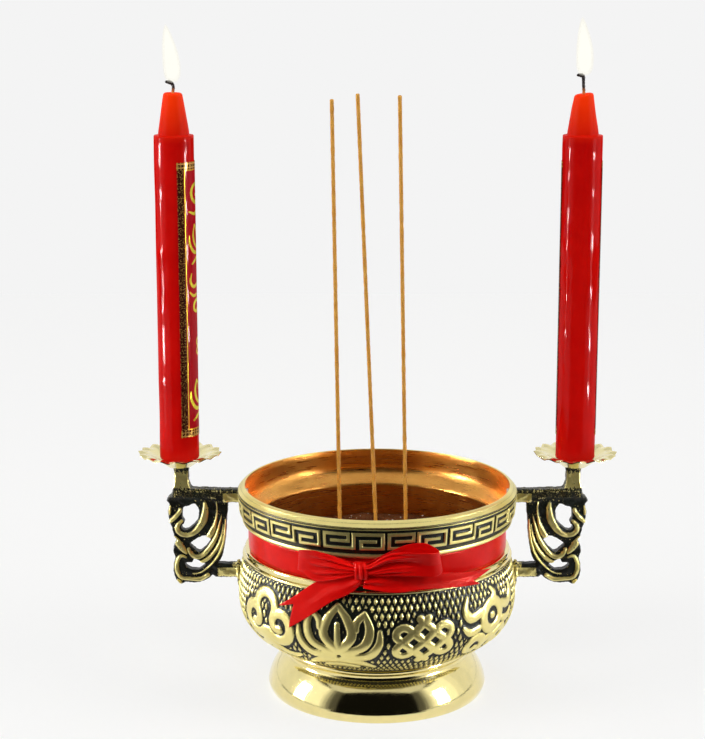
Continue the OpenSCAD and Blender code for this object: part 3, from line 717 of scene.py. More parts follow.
handleSet = {
    "outline": [(27.5, 45.6), (31.5, 45.0), (35.2, 42.6), (37.9, 39.4), (36.6, 37.2), (37.2, 33), (37, 29),
        (35.4, 24), (34.3, 19.5), (33.0, 17.4), (34.6, 13.6),
                (34.9, 10.5), (34, 7), (34.9, 3), (34.8, -1.5), (33.7, -5.2), (31, -7.6), (28, -6.6),
                (22.5, -6.9), (17.5, -5.4),
                (14, -2.6), (11, 4.3), (9.2, 6.5), (7.6, 12), (6.5, 19), (5.8, 29.5), (5.4, 38), (10, 45)],
    "windows": [
        [(29.2, 35), (26.0, 36.2), (23, 37.4), (20.8, 34.2), (21.4, 28.6), (24.2, 25), (28, 22.6),
            (30.4, 24.4), (28.6, 27.2), (29.8, 29.5)],
        [(25.6, 15.2), (18.4, 19.6), (14.6, 17.4), (17.2, 13.2), (20.8, 10.4), (23, 11.8)],
        [(28.6, 4.3), (25, 4.7), (23.6, 6.6), (20.4, 5.2), (17.8, 3.3), (21, 0.6), (24.6, 0.4),
            (27.7, 1.9)]],
    # raised gold lines: across, up, half width
    "ridges": [
        [(17.4, 38, 0.9), (17.2, 34, 1.7), (18.3, 28.6, 2.1), (21.6, 23.4, 1.8), (25.4, 20.5, 1.5),
            (29.6, 20.4, 1.4), (32.2, 22.6, 1.4), (32.2, 25.6, 1.3), (30, 28.2, 0.9)],
        [(11.2, 38.4, 0.4), (10.9, 34, 0.5), (11.8, 28, 0.9), (13.6, 22.6, 1.6), (15.4, 19.6, 1.5),
            (16.4, 18.0, 0.6)],
        [(8.6, 31, 0.3), (9.6, 26.5, 0.7), (11.6, 19.6, 1.2), (14.6, 14, 1.4), (18.6, 9.3, 1.4),
            (22.4, 7.7, 1.4), (25.2, 9.6, 1.3), (26.6, 12.3, 1.0)],
        [(7.7, 26, 0.3), (8.4, 21, 0.7), (10.4, 14.6, 1.0), (13.8, 9.4, 1.1), (17.6, 6.0, 1.2),
            (20.8, 4.6, 1.0)],
        [(6.5, 29, 0.5), (6.9, 22, 0.8), (8.4, 14, 0.9), (11.4, 7.6, 0.8), (15.6, 2.6, 0.6),
            (20, -0.8, 0.5), (24.4, -1.6, 0.5)],
        [(37.0, 27.2, 1.0), (34.2, 29.6, 1.3), (31.6, 32.6, 1.3), (30.7, 34.6, 1.0)],
        [(36.0, 36.6, 0.4), (36.4, 34, 0.9), (36.4, 31.6, 0.5)],
        [(34.0, 18.4, 1.4), (31.2, 14.6, 2.0), (29.0, 11.4, 1.4), (27.8, 9.8, 0.6)],
        [(27.9, 7.6, 0.6), (30.8, 8.4, 1.0), (32.8, 5.4, 1.2), (33, 0.4, 1.3), (31, -3.6, 1.2),
            (26.6, -4.4, 1.1), (20.6, -4.6, 1.3), (16.4, -2.2, 1.2)],
        [(31.4, -6.4, 1.1), (32.6, -5.2, 0.8)]],
    "thick": 3.5, "relief": 0.85, "cell": 0.33,
}


def buildHandle(side):
    h = handleSet
    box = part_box("handle_right")
    sideR = 75.2
    lowLug, topLug = footTop + 39.4, footTop + rimTop - 7
    sx, sz = 1.0, (topLug - lowLug) / 41.8
    place = lambda pts: [(sideR + p[0] * sx, lowLug + p[1] * sz) + tuple(p[2:]) for p in pts]
    outline = catmull(place(h["outline"]), 6, closed=True)
    windows = [catmull(place(w), 6, closed=True) for w in h["windows"]]
    ridges = [catmull(place(r), 6) for r in h["ridges"]]
    cell = h["cell"]
    low = np.array([70.0, -7.6, footTop + 23.0])
    count = [int(n / cell) + 1 for n in (44.5, 15.2, box[1].z / mm - low[2] + 1.0)]
    xs, ys, zs = [low[k] + cell * np.arange(count[k]) for k in range(3)]
    x2, z2 = np.meshgrid(xs, zs, indexing="ij")
    plate = polygonDistance(x2, z2, outline)
    for w in windows:
        plate = np.maximum(plate, -polygonDistance(x2, z2, w))
    lineNear = np.min([strokeDistance(x2, z2, r) for r in ridges], axis=0)
    beam = smoothStep(topLug - 2.5, topLug, z2)
    half = h["thick"] - 0.55 + 1.35 * smoothStep(0.25, -0.75, lineNear) * (1 - 0.6 * beam) + 0.5 * beam
    x, y, z = np.meshgrid(xs, ys, zs, indexing="ij")
    points = np.stack([x, y, z], -1).reshape(-1, 3)
    rough = ripple(points, 3.2, 3).reshape(x.shape) * 0.10 + ripple(points, 1.4, 4).reshape(x.shape) * 0.07
    soft = lambda a, b, k: np.maximum(a, b) + np.maximum(k - np.abs(a - b), 0) ** 2 / (4 * k)
    join = lambda a, b, k: np.minimum(a, b) - np.maximum(k - np.abs(a - b), 0) ** 2 / (4 * k)
    barBox = lambda cx, cy, cz, bx, by, bz, r: np.linalg.norm([np.maximum(np.abs(x - cx) - bx + r, 0),
        np.maximum(np.abs(y - cy) - by + r, 0),
                                                           np.maximum(np.abs(z - cz) - bz + r, 0)],
                                                           axis=0) - r
    solid = soft(plate[:, None, :] + 0 * y, np.abs(y) - half[:, None, :], 0.9)
    solid = join(solid, barBox(80, 0, topLug, 8.5, 3.2, 3.7, 1.7), 1.0)
    solid = join(solid, barBox(81, 0, lowLug, 8.0, 3.3, 3.9, 1.9), 1.0)
    postX = sideR + 29.8
    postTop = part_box("drip_pan_left")[0].z / mm
    flareOut = 1.1 * smoothStep(topLug + 9, topLug + 3, z) + 0.5 * smoothStep(postTop - 3, postTop, z)
    post = np.linalg.norm([np.maximum(np.abs(x - postX) - 3.0 - flareOut, 0),
        np.maximum(np.abs(y) - 3.0 - 0.5 * flareOut, 0)], axis=0) - 0.7
    post = np.maximum(post, np.maximum(z - postTop, topLug - z))
    solid = join(solid, post, 1.6)
    # leaf-shaped root that spreads on the belly round the lower lug
    lean = np.hypot(x, y)
    leaf = np.abs(lean - 75.2 + 0.010 * (z - lowLug) ** 2) - 0.7
    leafWide = 5.6 * np.maximum(1 - ((z - lowLug + 2.5) / 8.0) ** 2, -1)
    leaf = np.maximum(leaf, np.abs(y) - leafWide)
    solid = join(solid, leaf, 0.8)
    solid = solid + rough
    # stop at the pot's own surface
    pot = np.interp(z - footTop, [26, 30, 40, 49.5, 49.6, 54, 54.1, 68, 68.1, 69.4, 74, 82, 88],
        [75.0, 75.2, 74.6, 72.2, 71.5, 71.5, 68.6, 68.6, 71, 72.3, 74.2, 75, 75])
    solid = np.maximum(solid, pot - 0.5 - lean)
    solid = np.maximum(solid, z - postTop)
    verts, faces = surfaceNet(solid, low, cell)
    nearHere = np.min([strokeDistance(verts[:, 0], verts[:, 2], r) for r in ridges], axis=0)
    front = smoothStep(2.9, 3.5, np.abs(verts[:, 1]))
    onPost = smoothStep(topLug + 4.2, topLug + 5.5, verts[:, 2]) * smoothStep(3.0, 3.6,
        np.abs(verts[:, 1])) * (1 - smoothStep(postTop - 3.2, postTop - 2.2, verts[:, 2]))
    onLug = np.maximum(smoothStep(83.6, 82.2, verts[:, 0]) * (np.abs(verts[:, 2] - topLug + 1) < 2.4),
        smoothStep(87, 85.5, verts[:, 0]) * (np.abs(verts[:, 2] - lowLug + 1.0) < 2.6)) * smoothStep(2.3,
            3.0, np.abs(verts[:, 1]))
    beamHere = 1 - smoothStep(topLug - 1.5, topLug + 0.5, verts[:, 2]) * smoothStep(84, 86, verts[:, 0])
    polish = np.maximum.reduce([smoothStep(0.15, -0.35, nearHere) * front * beamHere, 0.85 * onPost,
        0.8 * onLug])
    onLeaf = smoothStep(79.5, 77.5, np.hypot(verts[:, 0], verts[:, 1])) * (verts[:, 2] < topLug - 8)
    polish = np.maximum(polish, 0.55 * onLeaf + 0.25 * onLeaf * ripple(verts, 1.6, 7))
    worn = 0.30 * smoothStep(topLug - 4, topLug, verts[:, 2]) + 0.25 * smoothStep(lowLug - 2, lowLug - 5,
        verts[:, 2]) * front
    polish = np.maximum(polish, worn) + 0.36 * ripple(verts, 1.1, 5) * smoothStep(-0.2, 0.4,
        ripple(verts, 6, 6))
    if side < 0:
        verts = verts * np.array([-1, 1, 1])
        faces = faces[:, ::-1]
    name = "handleLeft" if side < 0 else "handleRight"
    obj = makeMesh(name, verts * mm, faces, 180, [antique])
    setAttribute(obj, "polish", np.clip(polish, 0, 1))
    addPiece(obj, "root", "antique_brass", "handle_left" if side < 0 else "handle_right")
    print(name, len(obj.data.polygons))


for side in (-1, 1):
    buildHandle(side)


panSet = {"lobes": 16, "radius": 22.6, "hub": 6.5, "depth": 7.6, "sheet": 0.9, "notch": 1.15, "ripple": 0.6}
standX = (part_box("pricket_right")[0].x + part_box("pricket_right")[1].x) / 2 / mm
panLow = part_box("drip_pan_left")[0].z / mm


def buildPan(side):
    p = panSet
    segments = p["lobes"] * 16
    angle = np.arange(segments) * 2 * math.pi / segments
    wander = 0.35 * np.sin(3 * angle + side) + 0.2 * np.sin(7 * angle)
    notch = p["notch"] * np.abs(np.sin(angle * p["lobes"] / 2)) ** 1.1 + 0.3 + 0.3 * wander
    t = np.concatenate([[-0.28], np.linspace(0, 1, 26)])
    out = []
    for top in (True, False):
        for q in (t if top else t[::-1]):
            r = p["hub"] + (p["radius"] - p["hub"]) * q - notch * smoothStep(0.72, 1.0, q)
            z = panLow + p["depth"] * math.sin(math.radians(90 * max(q, 0))) + (p["sheet"] if top else 0)
            z = z + (p["ripple"] * np.cos(angle * p["lobes"]) + 0.5 * wander - 0.7) * smoothStep(0.5, 1, q)
            z = z - (0.35 * smoothStep(0.86, 1, q) if top else 0)
            out.append(np.stack([r * np.sin(angle), -r * np.cos(angle), z + 0 * angle], 1))
    verts = np.concatenate(out) + np.array([side * standX, 0, 0])
    obj = makeMesh("dripPanLeft" if side < 0 else "dripPanRight", verts * mm,
        gridFaces(2 * len(t), segments, closeRows=True)[:, ::-1], 50, [panBrass])
    addPiece(obj, "root", "pan_brass", "drip_pan_left" if side < 0 else "drip_pan_right")


for side in (-1, 1):
    buildPan(side)
for name in ("pricket_left", "pricket_right"):
    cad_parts[name].data.materials.clear()
    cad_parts[name].data.materials.append(panBrass)
for name in ("foot_screw", "foot_washer", "foot_nut", "handle_screws_left", "handle_screws_right"):
    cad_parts[name].data.materials.clear()
    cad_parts[name].data.materials.append(steel)
print("pans ready")


candleSet = {
    "red": (0.70, 0.006, 0.004), "deep red": (0.60, 0.004, 0.003), "glow": (0.86, 0.035, 0.003),
    "radius": 10.5,
    "tip low": 8.2, "tip high": 5.1, "melt slant": {-1: 0.3, 1: 1.6}, "dents": 0.06,
}


def waxMaterial(name, shoulder, tip):
    # glossy red wax, more orange and lit from inside towards the burning tip
    mat, tree, shader = startMaterial(name, Roughness=0.3, Subsurface_Weight=0.25, Subsurface_Scale=0.003,
        Specular_IOR_Level=0.0, Coat_Weight=0.17, Coat_Roughness=0.03)
    shader.inputs["Subsurface Radius"].default_value = (1.0, 0.05, 0.02)
    height = addNode(tree, "SeparateXYZ", Vector=addNode(tree, "TexCoord").outputs["Object"]).outputs["Z"]
    warm = remap(tree, height, shoulder - 0.004, tip)
    cloudy = noiseOf(tree, 45, 4)
    base = mixColour(tree, remap(tree, cloudy, 0.35, 0.65), candleSet["red"], candleSet["deep red"])
    tree.links.new(mixColour(tree, warm, base, candleSet["glow"]), shader.inputs["Base Color"])
    tree.links.new(mixColour(tree, warm, (0.03, 0.0, 0.0), (0.62, 0.030, 0.001)),
        shader.inputs["Emission Color"])
    shader.inputs["Emission Strength"].default_value = 0.42
    dents = noiseOf(tree, 85, 3, 0.5, stretch=(1, 1, 0.5))
    addBump(tree, shader, dents, 0.0012, 0.30)
    return mat


def buildCandle(side):
    node = "candle_left" if side < 0 else "candle_right"
    low, high = [c.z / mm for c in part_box(node)]
    c = candleSet
    shoulder, tip = high - 22.0, high
    spikeHole, deep = 1.65, low + 22
    body = [(spikeHole, low), (c["radius"] - 0.9, low), (c["radius"] - 0.3, low + 0.25),
        (c["radius"], low + 0.9)]
    body += [(c["radius"] - 0.02, z) for z in np.linspace(low + 3, shoulder - 1.4, 60)]
    body += [(c["radius"] - 0.04, shoulder - 0.35), (c["radius"] - 0.22, shoulder - 0.06),
        (c["radius"] - 0.6, shoulder), (c["tip low"] + 0.35, shoulder),
        (c["tip low"] + 0.1, shoulder + 0.15), (c["tip low"], shoulder + 0.6)]
    body += [(c["tip low"] + (c["tip high"] - c["tip low"]) * t,
        shoulder + 1.2 + (tip - shoulder - 2.4) * t) for t in np.linspace(0.05, 1, 18)]
    body += [(c["tip high"] - 0.4, tip - 0.5), (c["tip high"] - 1.1, tip - 0.15), (3.0, tip - 0.5),
        (1.8, tip - 1.1), (0.9, tip - 1.3), (0.85, tip - 8), (0.0005, tip - 8)]
    body += [(0.0005, deep + 0.6), (spikeHole, deep - 7.3)]
    segments = 128
    profile = np.array(body)
    verts, angle = revolve(profile, segments, centre=(side * standX, 0))
    # soft dents in the side, and a melted top that slants
    flat = verts - np.array([side * standX, 0, 0])
    outer = np.hypot(flat[:, 0], flat[:, 1]) > 4
    dent = c["dents"] * ripple(verts * np.array([1, 1, 0.6]), 13, 11 + side) * outer
    length = np.maximum(np.hypot(flat[:, 0], flat[:, 1]), 1e-6)
    push = np.where(verts[:, 2] > low + 1.5, dent - 1.5 * c["dents"] * outer, 0)
    verts[:, 0] += flat[:, 0] / length * push
    verts[:, 1] += flat[:, 1] / length * push
    melt = smoothStep(tip - 9, tip - 0.5, verts[:, 2]) * c["melt slant"][side]
    verts[:, 2] += melt * (0.5 * flat[:, 0] * side * 0.16 - 0.42)
    verts[:, 2] = np.minimum(verts[:, 2], tip + 0.3)
    obj = makeMesh("candleLeft" if side < 0 else "candleRight", verts * mm,
        gridFaces(len(profile), segments, closeRows=True), 40,
        [waxMaterial(node + "Wax", shoulder * mm, tip * mm)])
    addPiece(obj, "left_candle" if side < 0 else "right_candle", "red_wax", node)
    print(obj.name, len(obj.data.polygons))


def wickMaterial(name, low, high):
    mat, tree, shader = startMaterial(name, Roughness=0.85)
    height = addNode(tree, "SeparateXYZ", Vector=addNode(tree, "TexCoord").outputs["Object"]).outputs["Z"]
    soaked = remap(tree, height, low, low + 0.0025, 1, 0)
    fibre = noiseOf(tree, 2600, 3)
    char = mixColour(tree, fibre, (0.006, 0.005, 0.005), (0.03, 0.022, 0.02))
    tree.links.new(mixColour(tree, soaked, char, (0.70, 0.24, 0.05)), shader.inputs["Base Color"])
    addBump(tree, shader, fibre, 0.0003, 0.8)
    return mat


def buildWick(side):
    node = "wick_left" if side < 0 else "wick_right"
    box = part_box(node)
    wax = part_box("candle_left" if side < 0 else "candle_right")[1].z / mm
    x, top = side * standX, box[1].z / mm
    end = box[0].x / mm
    line = catmull([(x, 0, wax - 8), (x, 0, wax - 1), (x + 0.3 * side * -1, 0, wax + (top - wax) * 0.45),
        (x - 0.6, 0, top - 1.6), (x - 2.4, 0, top - 1.0), (end + 0.7, 0, top - 1.05)], 10)
    twist = np.interp(np.linspace(0, 1, len(line)), [0, 0.45, 0.7, 0.9, 1],
        [0.8, 0.8, 1.1, 0.75, 0.3]) + 0.07 * np.sin(np.arange(len(line)) * 1.9)
    verts, faces = sweepTube(line, twist, 14)
    verts += 0.05 * np.stack([ripple(verts, 1.0, 21), ripple(verts, 1.0, 22), ripple(verts, 1.0, 23)], 1)
    obj = makeMesh("wickLeft" if side < 0 else "wickRight", verts * mm, faces, 180,
        [wickMaterial(node + "Char", wax * mm, top * mm)])
    addPiece(obj, "left_candle" if side < 0 else "right_candle", "charred_wick", node)


def flameMaterial(name, glow, alpha):
    mat, tree, shader = startMaterial(name, Roughness=1.0, Base_Color=(0.0, 0.0, 0.0),
        Specular_IOR_Level=0.0, Alpha=alpha, Emission_Strength=1.0)
    height = addNode(tree, "SeparateXYZ", Vector=addNode(tree, "TexCoord").outputs["Object"]).outputs["Z"]
    flicker = remap(tree, noiseOf(tree, 60, 1), 0.3, 0.7)
    tree.links.new(mixColour(tree, flicker, glow, tuple(1.02 * g for g in glow)),
        shader.inputs["Emission Color"])
    return mat


def buildFlame(side):
    node = "flame_left" if side < 0 else "flame_right"
    low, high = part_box(node)
    x0, base, top = side * standX, low.z / mm, high.z / mm
    lean = -math.tan(math.radians(5 if side < 0 else 2))
    # name, share of the width, start above the base, share of the height, glow, opacity
    shells = [("Edge", 1.0, 0.6, 0.995, (0.95, 0.92, 0.80), 0.16),
        ("Veil", 0.89, 1.2, 0.965, (1.0, 0.98, 0.86), 0.30),
              ("Glow", 0.78, 1.9, 0.92, (1.0, 0.995, 0.93), 0.55),
              ("Core", 0.66, 2.8, 0.85, (1.05, 1.05, 1.02), 1.0)]
    for part, share, start, tall, glow, alpha in shells:
        t = np.linspace(0, 1, 44)
        width = 4.75 * share * np.interp(t, [0, 0.03, 0.12, 0.3, 0.5, 0.7, 0.86, 0.95, 1],
            [0.35, 0.68, 0.93, 1.0, 0.92, 0.70, 0.43, 0.24, 0.05])
        width = np.convolve(np.pad(width, 2, mode="edge"), np.ones(5) / 5, "valid")
        width[[0, -1]] = 0.01
        verts, _ = revolve(np.stack([width, base + start + (top - base - start) * tall * t], 1), 48)
        rise = verts[:, 2] - base
        verts[:, 0] += x0 + lean * rise + 0.5 * np.sin(rise * 0.14)
        obj = makeMesh(("flameLeft" if side < 0 else "flameRight") + part, verts * mm,
            gridFaces(len(t), 48), 180, [flameMaterial(node + part, glow, alpha)])
        obj.visible_shadow = obj.visible_diffuse = False
        addPiece(obj, "left_candle" if side < 0 else "right_candle", "flame_glow", node)


def labelMaterial():
    # gold foil border with a fine key in it, and gilt figures on a dull red ground
    mat, tree, shader = startMaterial("giltLabel", Coat_Weight=0.17, Coat_Roughness=0.03,
        Specular_IOR_Level=0.0)
    gilt = addNode(tree, "Attribute", {"attribute_name": "gilt"}).outputs["Fac"]
    border = addNode(tree, "Attribute", {"attribute_name": "border"}).outputs["Fac"]
    flat = addNode(tree, "TexCoord").outputs["UV"]
    key = addNode(tree, "TexBrick", {"offset": 0.5, "squash": 1.0}, Vector=flat, Scale=1.0,
        Color1=(1, 1, 1, 1), Color2=(0.55, 0.55, 0.55, 1), Mortar=(0, 0, 0, 1))
    key.inputs["Mortar Size"].default_value = 0.13
    key.inputs["Brick Width"].default_value = 1.5
    key.inputs["Row Height"].default_value = 0.62
    fleck = addNode(tree, "TexNoise", Vector=flat, Scale=1.15, Detail=2.0).outputs[0]
    inKey = mathOf(tree, "MULTIPLY", key.outputs["Color"], remap(tree, fleck, 0.52, 0.60))
    foil = mathOf(tree, "MAXIMUM", remap(tree, gilt, 0.42, 0.58), mathOf(tree, "MULTIPLY", border, inKey))
    ground = mixColour(tree, border, (0.52, 0.010, 0.018), (0.035, 0.006, 0.003))
    gold = mixColour(tree, remap(tree, border, 0, 1), (0.86, 0.70, 0.05), (0.85, 0.45, 0.12))
    tree.links.new(mixColour(tree, foil, ground, gold), shader.inputs["Base Color"])
    tree.links.new(remap(tree, foil, 0, 1, 0.0, 0.35), shader.inputs["Metallic"])
    tree.links.new(remap(tree, foil, 0, 1, 0.26, 0.22), shader.inputs["Roughness"])
    addBump(tree, shader, noiseOf(tree, 110, 3), 0.0005, 0.4)
    return mat


gilded = labelMaterial()


def buildLabel(side):
    # printed sheet wrapped round the candle
    node = "candle_label_left" if side < 0 else "candle_label_right"
    low, high = [c.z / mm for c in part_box(node)]
    start, sweep, radius = (11 if side < 0 else 68), 215, candleSet["radius"] + 0.02
    cols, rows = 122, 440
    a = np.radians(start + np.linspace(0, sweep, cols))
    z = np.linspace(low, high, rows)
    u, v = np.meshgrid(np.linspace(0, math.radians(sweep) * radius, cols), z - low)
    wide, tall = u.max(), v.max()
    inset = np.minimum.reduce([u, wide - u, v, tall - v])
    border = smoothStep(3.9, 3.7, inset) * smoothStep(0.2, 0.4, inset)
    ends = smoothStep(4.2, 3.9, np.minimum(v, tall - v))
    key = np.minimum(np.abs((u + 0.55) % 1.9 - 0.95), np.abs((v + 0.2) % 1.9 - 0.95))
    gilt = np.maximum(0.75 * smoothStep(0.4, 0.15, np.abs(inset - 4.3)),
        0.9 * ends * smoothStep(0.36, 0.16, key))
    figures = [(cloudMotif, 0.72, 0.88), (lotusMotif, 0.70, 0.71), (pearlMotif, 0.72, 0.52),
        (knotMotif, 0.62, 0.33), (lotusMotif, 0.74, 0.14)]
    for motif, scale, middle in figures:
        d = np.min([strokeDistance((u - wide / 2) / scale, (v - tall * middle) / scale,
            s * np.array([1, 1, 0.55])) for s in motif()], axis=0)
        gilt = np.maximum(gilt, 1 - smoothStep(-0.25, 0.3, d))
    verts = []
    for shell in (0.15, -0.03):
        ring = radius + shell
        x, y = side * standX + ring * np.sin(a), -ring * np.cos(a)
        verts.append(np.stack([np.tile(x, rows), np.tile(y, rows), np.repeat(z, cols)], 1))
    face = gridFaces(rows, cols, closeCols=False)
    n = rows * cols
    outline = np.concatenate([np.arange(cols), (np.arange(1, rows) + 1) * cols - 1,
        (n - 2 - np.arange(cols - 1)), (rows - 2 - np.arange(rows - 2)) * cols])
    rim = [(outline[k], outline[k - 1], outline[k - 1] + n, outline[k] + n) for k in range(len(outline))]
    faces = [tuple(f) for f in face] + [tuple(f[::-1] + n) for f in face] + rim
    obj = makeMesh("labelLeft" if side < 0 else "labelRight", np.concatenate(verts) * mm, faces, 40,
        [gilded])
    setAttribute(obj, "gilt", np.concatenate([gilt.ravel(), np.zeros(n)]))
    setAttribute(obj, "border", np.concatenate([border.ravel(), np.zeros(n)]))
    flat = np.tile(np.stack([u.ravel(), v.ravel()], 1), (2, 1))
    corner = np.empty(len(obj.data.loops), np.int32)
    obj.data.loops.foreach_get("vertex_index", corner)
    obj.data.uv_layers.new(name="flatSheet").data.foreach_set("uv", flat[corner].astype(np.float32).ravel())
    addPiece(obj, "left_candle" if side < 0 else "right_candle", "gilt_label", node)


for side in (-1, 1):
    buildCandle(side)
    buildWick(side)
    buildFlame(side)
    buildLabel(side)
print("candles ready")


ashSet = {"radius": 65.15, "level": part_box("ash_bed")[1].z / mm, "deep": 5, "grains": 1500}
sticks = [("left", 0.98), ("middle", 2.47), ("right", 1.09)]


def ashMaterial():
    mat, tree, shader = startMaterial("greyAsh", Roughness=0.95, Specular_IOR_Level=0.15)
    fine, cloudy = noiseOf(tree, 1600, 5, 0.7), noiseOf(tree, 120, 5)
    brown = mixColour(tree, remap(tree, cloudy, 0.35, 0.65), (0.085, 0.024, 0.006), (0.19, 0.062, 0.018))
    tree.links.new(mixColour(tree, remap(tree, fine, 0.60, 0.74), brown, (0.50, 0.34, 0.22)),
        shader.inputs["Base Color"])
    addBump(tree, shader, fine, 0.0006, 0.9)
    return mat


def grainMaterial(name, a, b):
    mat, tree, shader = startMaterial(name, Roughness=0.8)
    tree.links.new(mixColour(tree, noiseOf(tree, 700, 3), a, b), shader.inputs["Base Color"])
    return mat


def stickLine(name):
    # foot and direction of a stick, from the box of its bamboo core
    low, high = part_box("bamboo_" + name)
    lean = math.radians(dict(sticks)[name])
    up = np.array([-math.sin(lean), 0, math.cos(lean)])
    foot = np.array([high.x / mm - 0.6 * math.cos(lean), 0, low.z / mm + 0.6 * math.sin(lean)])
    return foot, up, (high.z - low.z) / mm


def buildAsh():
    s = ashSet
    rows, cols = 96, 300
    radius = s["radius"] * np.linspace(0, 1, rows) ** 0.8
    radius[0] = 0.05
    a = np.arange(cols) * 2 * math.pi / cols
    r2, a2 = np.meshgrid(radius, a, indexing="ij")
    x, y = r2 * np.sin(a2), -r2 * np.cos(a2)
    flat = np.stack([x.ravel(), y.ravel(), 0 * x.ravel()], 1)
    z = s["level"] - 1.1 + (0.55 * ripple(flat, 30, 31) + 0.25 * ripple(flat, 9, 32) + 0.13
        * ripple(flat, 3, 33) + 0.08 * ripple(flat, 1.6, 34)).reshape(x.shape)
    for name, lean in sticks:
        foot, up, _ = stickLine(name)
        sx = foot[0] + up[0] * (s["level"] - foot[2]) / up[2]
        d = np.hypot(x - sx, y)
        z += 1.0 * np.exp(-(d / 4.2) ** 2) - 3.2 * smoothStep(1.9, 1.0, d)
    z = np.minimum(z, s["level"] + 0.4)
    top = np.stack([x.ravel(), y.ravel(), z.ravel()], 1)
    skirt = [np.stack([q * np.sin(a), -q * np.cos(a), np.full(cols, s["level"] - s["deep"])], 1)
        for q in (s["radius"], 0.05)]
    verts = np.concatenate([top] + skirt)
    obj = makeMesh("ashBed", verts * mm, gridFaces(rows + 2, cols, closeRows=True)[:, ::-1], 180,
        [ashMaterial()])
    addPiece(obj, "root", "grey_ash", "ash_bed")

    # loose grains and flakes on top
    golden = (1 + 5 ** 0.5) / 2
    corners = np.array([(0, s1, s2 * golden) for s1 in (-1, 1) for s2 in (-1, 1)]
        + [(s1, s2 * golden, 0) for s1 in (-1, 1) for s2 in (-1, 1)]
                       + [(s2 * golden, 0, s1) for s1 in (-1, 1) for s2 in (-1, 1)], float)
    corners /= np.linalg.norm(corners[0])
    near = [(i, j, k) for i in range(12) for j in range(i + 1, 12) for k in range(j + 1, 12)
            if max(np.linalg.norm(corners[p] - corners[q]) for p, q in ((i, j), (j, k), (i, k))) < 1.2]
    tris = [t if np.dot(np.cross(corners[t[1]] - corners[t[0]], corners[t[2]] - corners[t[0]]),
        corners[t[0]]) > 0 else t[::-1] for t in near]
    verts, faces, kinds = [], [], []
    for k in range(s["grains"]):
        r, t = s["radius"] * 0.985 * math.sqrt(rng.uniform(0.001, 1)), rng.uniform(0, 2 * math.pi)
        gx, gy = r * math.sin(t), -r * math.cos(t)
        row = int(np.searchsorted(radius, r)) - 1
        ground = z[max(row, 0), int(t / (2 * math.pi) * cols) % cols]
        size = rng.uniform(0.28, 0.75) * (1.5 if rng.random() < 0.06 else 1)
        shape = corners * size * rng.uniform(0.6, 1.25, 3) * np.array([1, 1, 0.7])
        verts.append(shape + np.array([gx, gy, ground + 0.15 * size]))
        faces += [tuple(np.array(f) + 12 * k) for f in tris]
        kinds += [0 if rng.random() < 0.2 else 1] * len(tris)
    mats = [grainMaterial("paleGrain", (0.66, 0.56, 0.46), (0.86, 0.78, 0.70)),
        grainMaterial("brownGrain", (0.10, 0.03, 0.008), (0.26, 0.10, 0.03))]
    grains = makeMesh("ashGrains", np.concatenate(verts) * mm, faces, 180, mats, kinds)
    addPiece(grains, "root", "grey_ash", "ash_bed")
    print("ash", len(obj.data.polygons), len(grains.data.polygons))


def pasteMaterial():
    mat, tree, shader = startMaterial("incensePaste", Roughness=0.75, Specular_IOR_Level=0.3)
    fine, cloudy = noiseOf(tree, 3000, 4, 0.7), noiseOf(tree, 160, 3)
    base = mixColour(tree, remap(tree, cloudy, 0.3, 0.7), (0.74, 0.31, 0.030), (0.88, 0.46, 0.075))
    tree.links.new(mixColour(tree, remap(tree, fine, 0.5, 0.75), base, (0.22, 0.07, 0.010)),
        shader.inputs["Base Color"])
    addBump(tree, shader, fine, 0.0002, 0.8)
    return mat


def buildSticks():
    paste = pasteMaterial()
    bamboo, tree, shader = startMaterial("splitBamboo", Roughness=0.6)
    tree.links.new(mixColour(tree, noiseOf(tree, 900, 3, stretch=(1, 1, 0.05)), (0.62, 0.44, 0.22),
        (0.80, 0.64, 0.36)), shader.inputs["Base Color"])
    for name, lean in sticks:
        body = name + "_stick"
        foot, up, _ = stickLine(name)
        low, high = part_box("incense_" + name)
        start = (low.z / mm - foot[2]) / up[2]
        end = (high.z / mm - foot[2]) / up[2]
        steps = np.concatenate([np.linspace(start, end - 0.6, 240), [end - 0.25, end]])
        line = foot + np.outer(steps, up)
        wave = 0.10 * np.sin(steps * 0.021 + lean)
        line[:, 1] += wave
        radii = 1.04 + 0.05 * ripple(line, 5, 41)
        radii[0], radii[-2], radii[-1] = 0.95, 0.95, 0.6
        verts, faces = sweepTube(line, radii, 18)
        verts += 0.025 * ripple(verts, 0.9, 42)[:, None] * (verts - np.repeat(line, 18, 0))
        obj = makeMesh("incense" + name.title(), verts * mm, faces, 60, [paste])
        addPiece(obj, body, "incense_paste", "incense_" + name)
        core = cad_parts["bamboo_" + name].data
        core.materials.clear()
        core.materials.append(bamboo)
    print("sticks ready")


buildAsh()
buildSticks()


ribbonSet = {"thick": 0.28, "neck": 68.6, "red": (0.78, 0.003, 0.003), "bright red": (0.90, 0.006, 0.004)}


def satinMaterial():
    mat, tree, shader = startMaterial("redSatin", Roughness=0.30, Sheen_Weight=0.02, Sheen_Roughness=0.25,
        Specular_IOR_Level=0.17)
    shader.inputs["Sheen Tint"].default_value = (1, 0.2, 0.15, 1)
    shader.inputs["Specular Tint"].default_value = (1.0, 0.30, 0.22, 1)
    cloudy = noiseOf(tree, 90, 3)
    weave = noiseOf(tree, 5200, 2, stretch=(1, 1, 0.25))
    tree.links.new(mixColour(tree, remap(tree, cloudy, 0.35, 0.65), ribbonSet["red"],
        ribbonSet["bright red"]), shader.inputs["Base Color"])
    addBump(tree, shader, weave, 0.00006, 0.5)
    return mat


satin = satinMaterial()


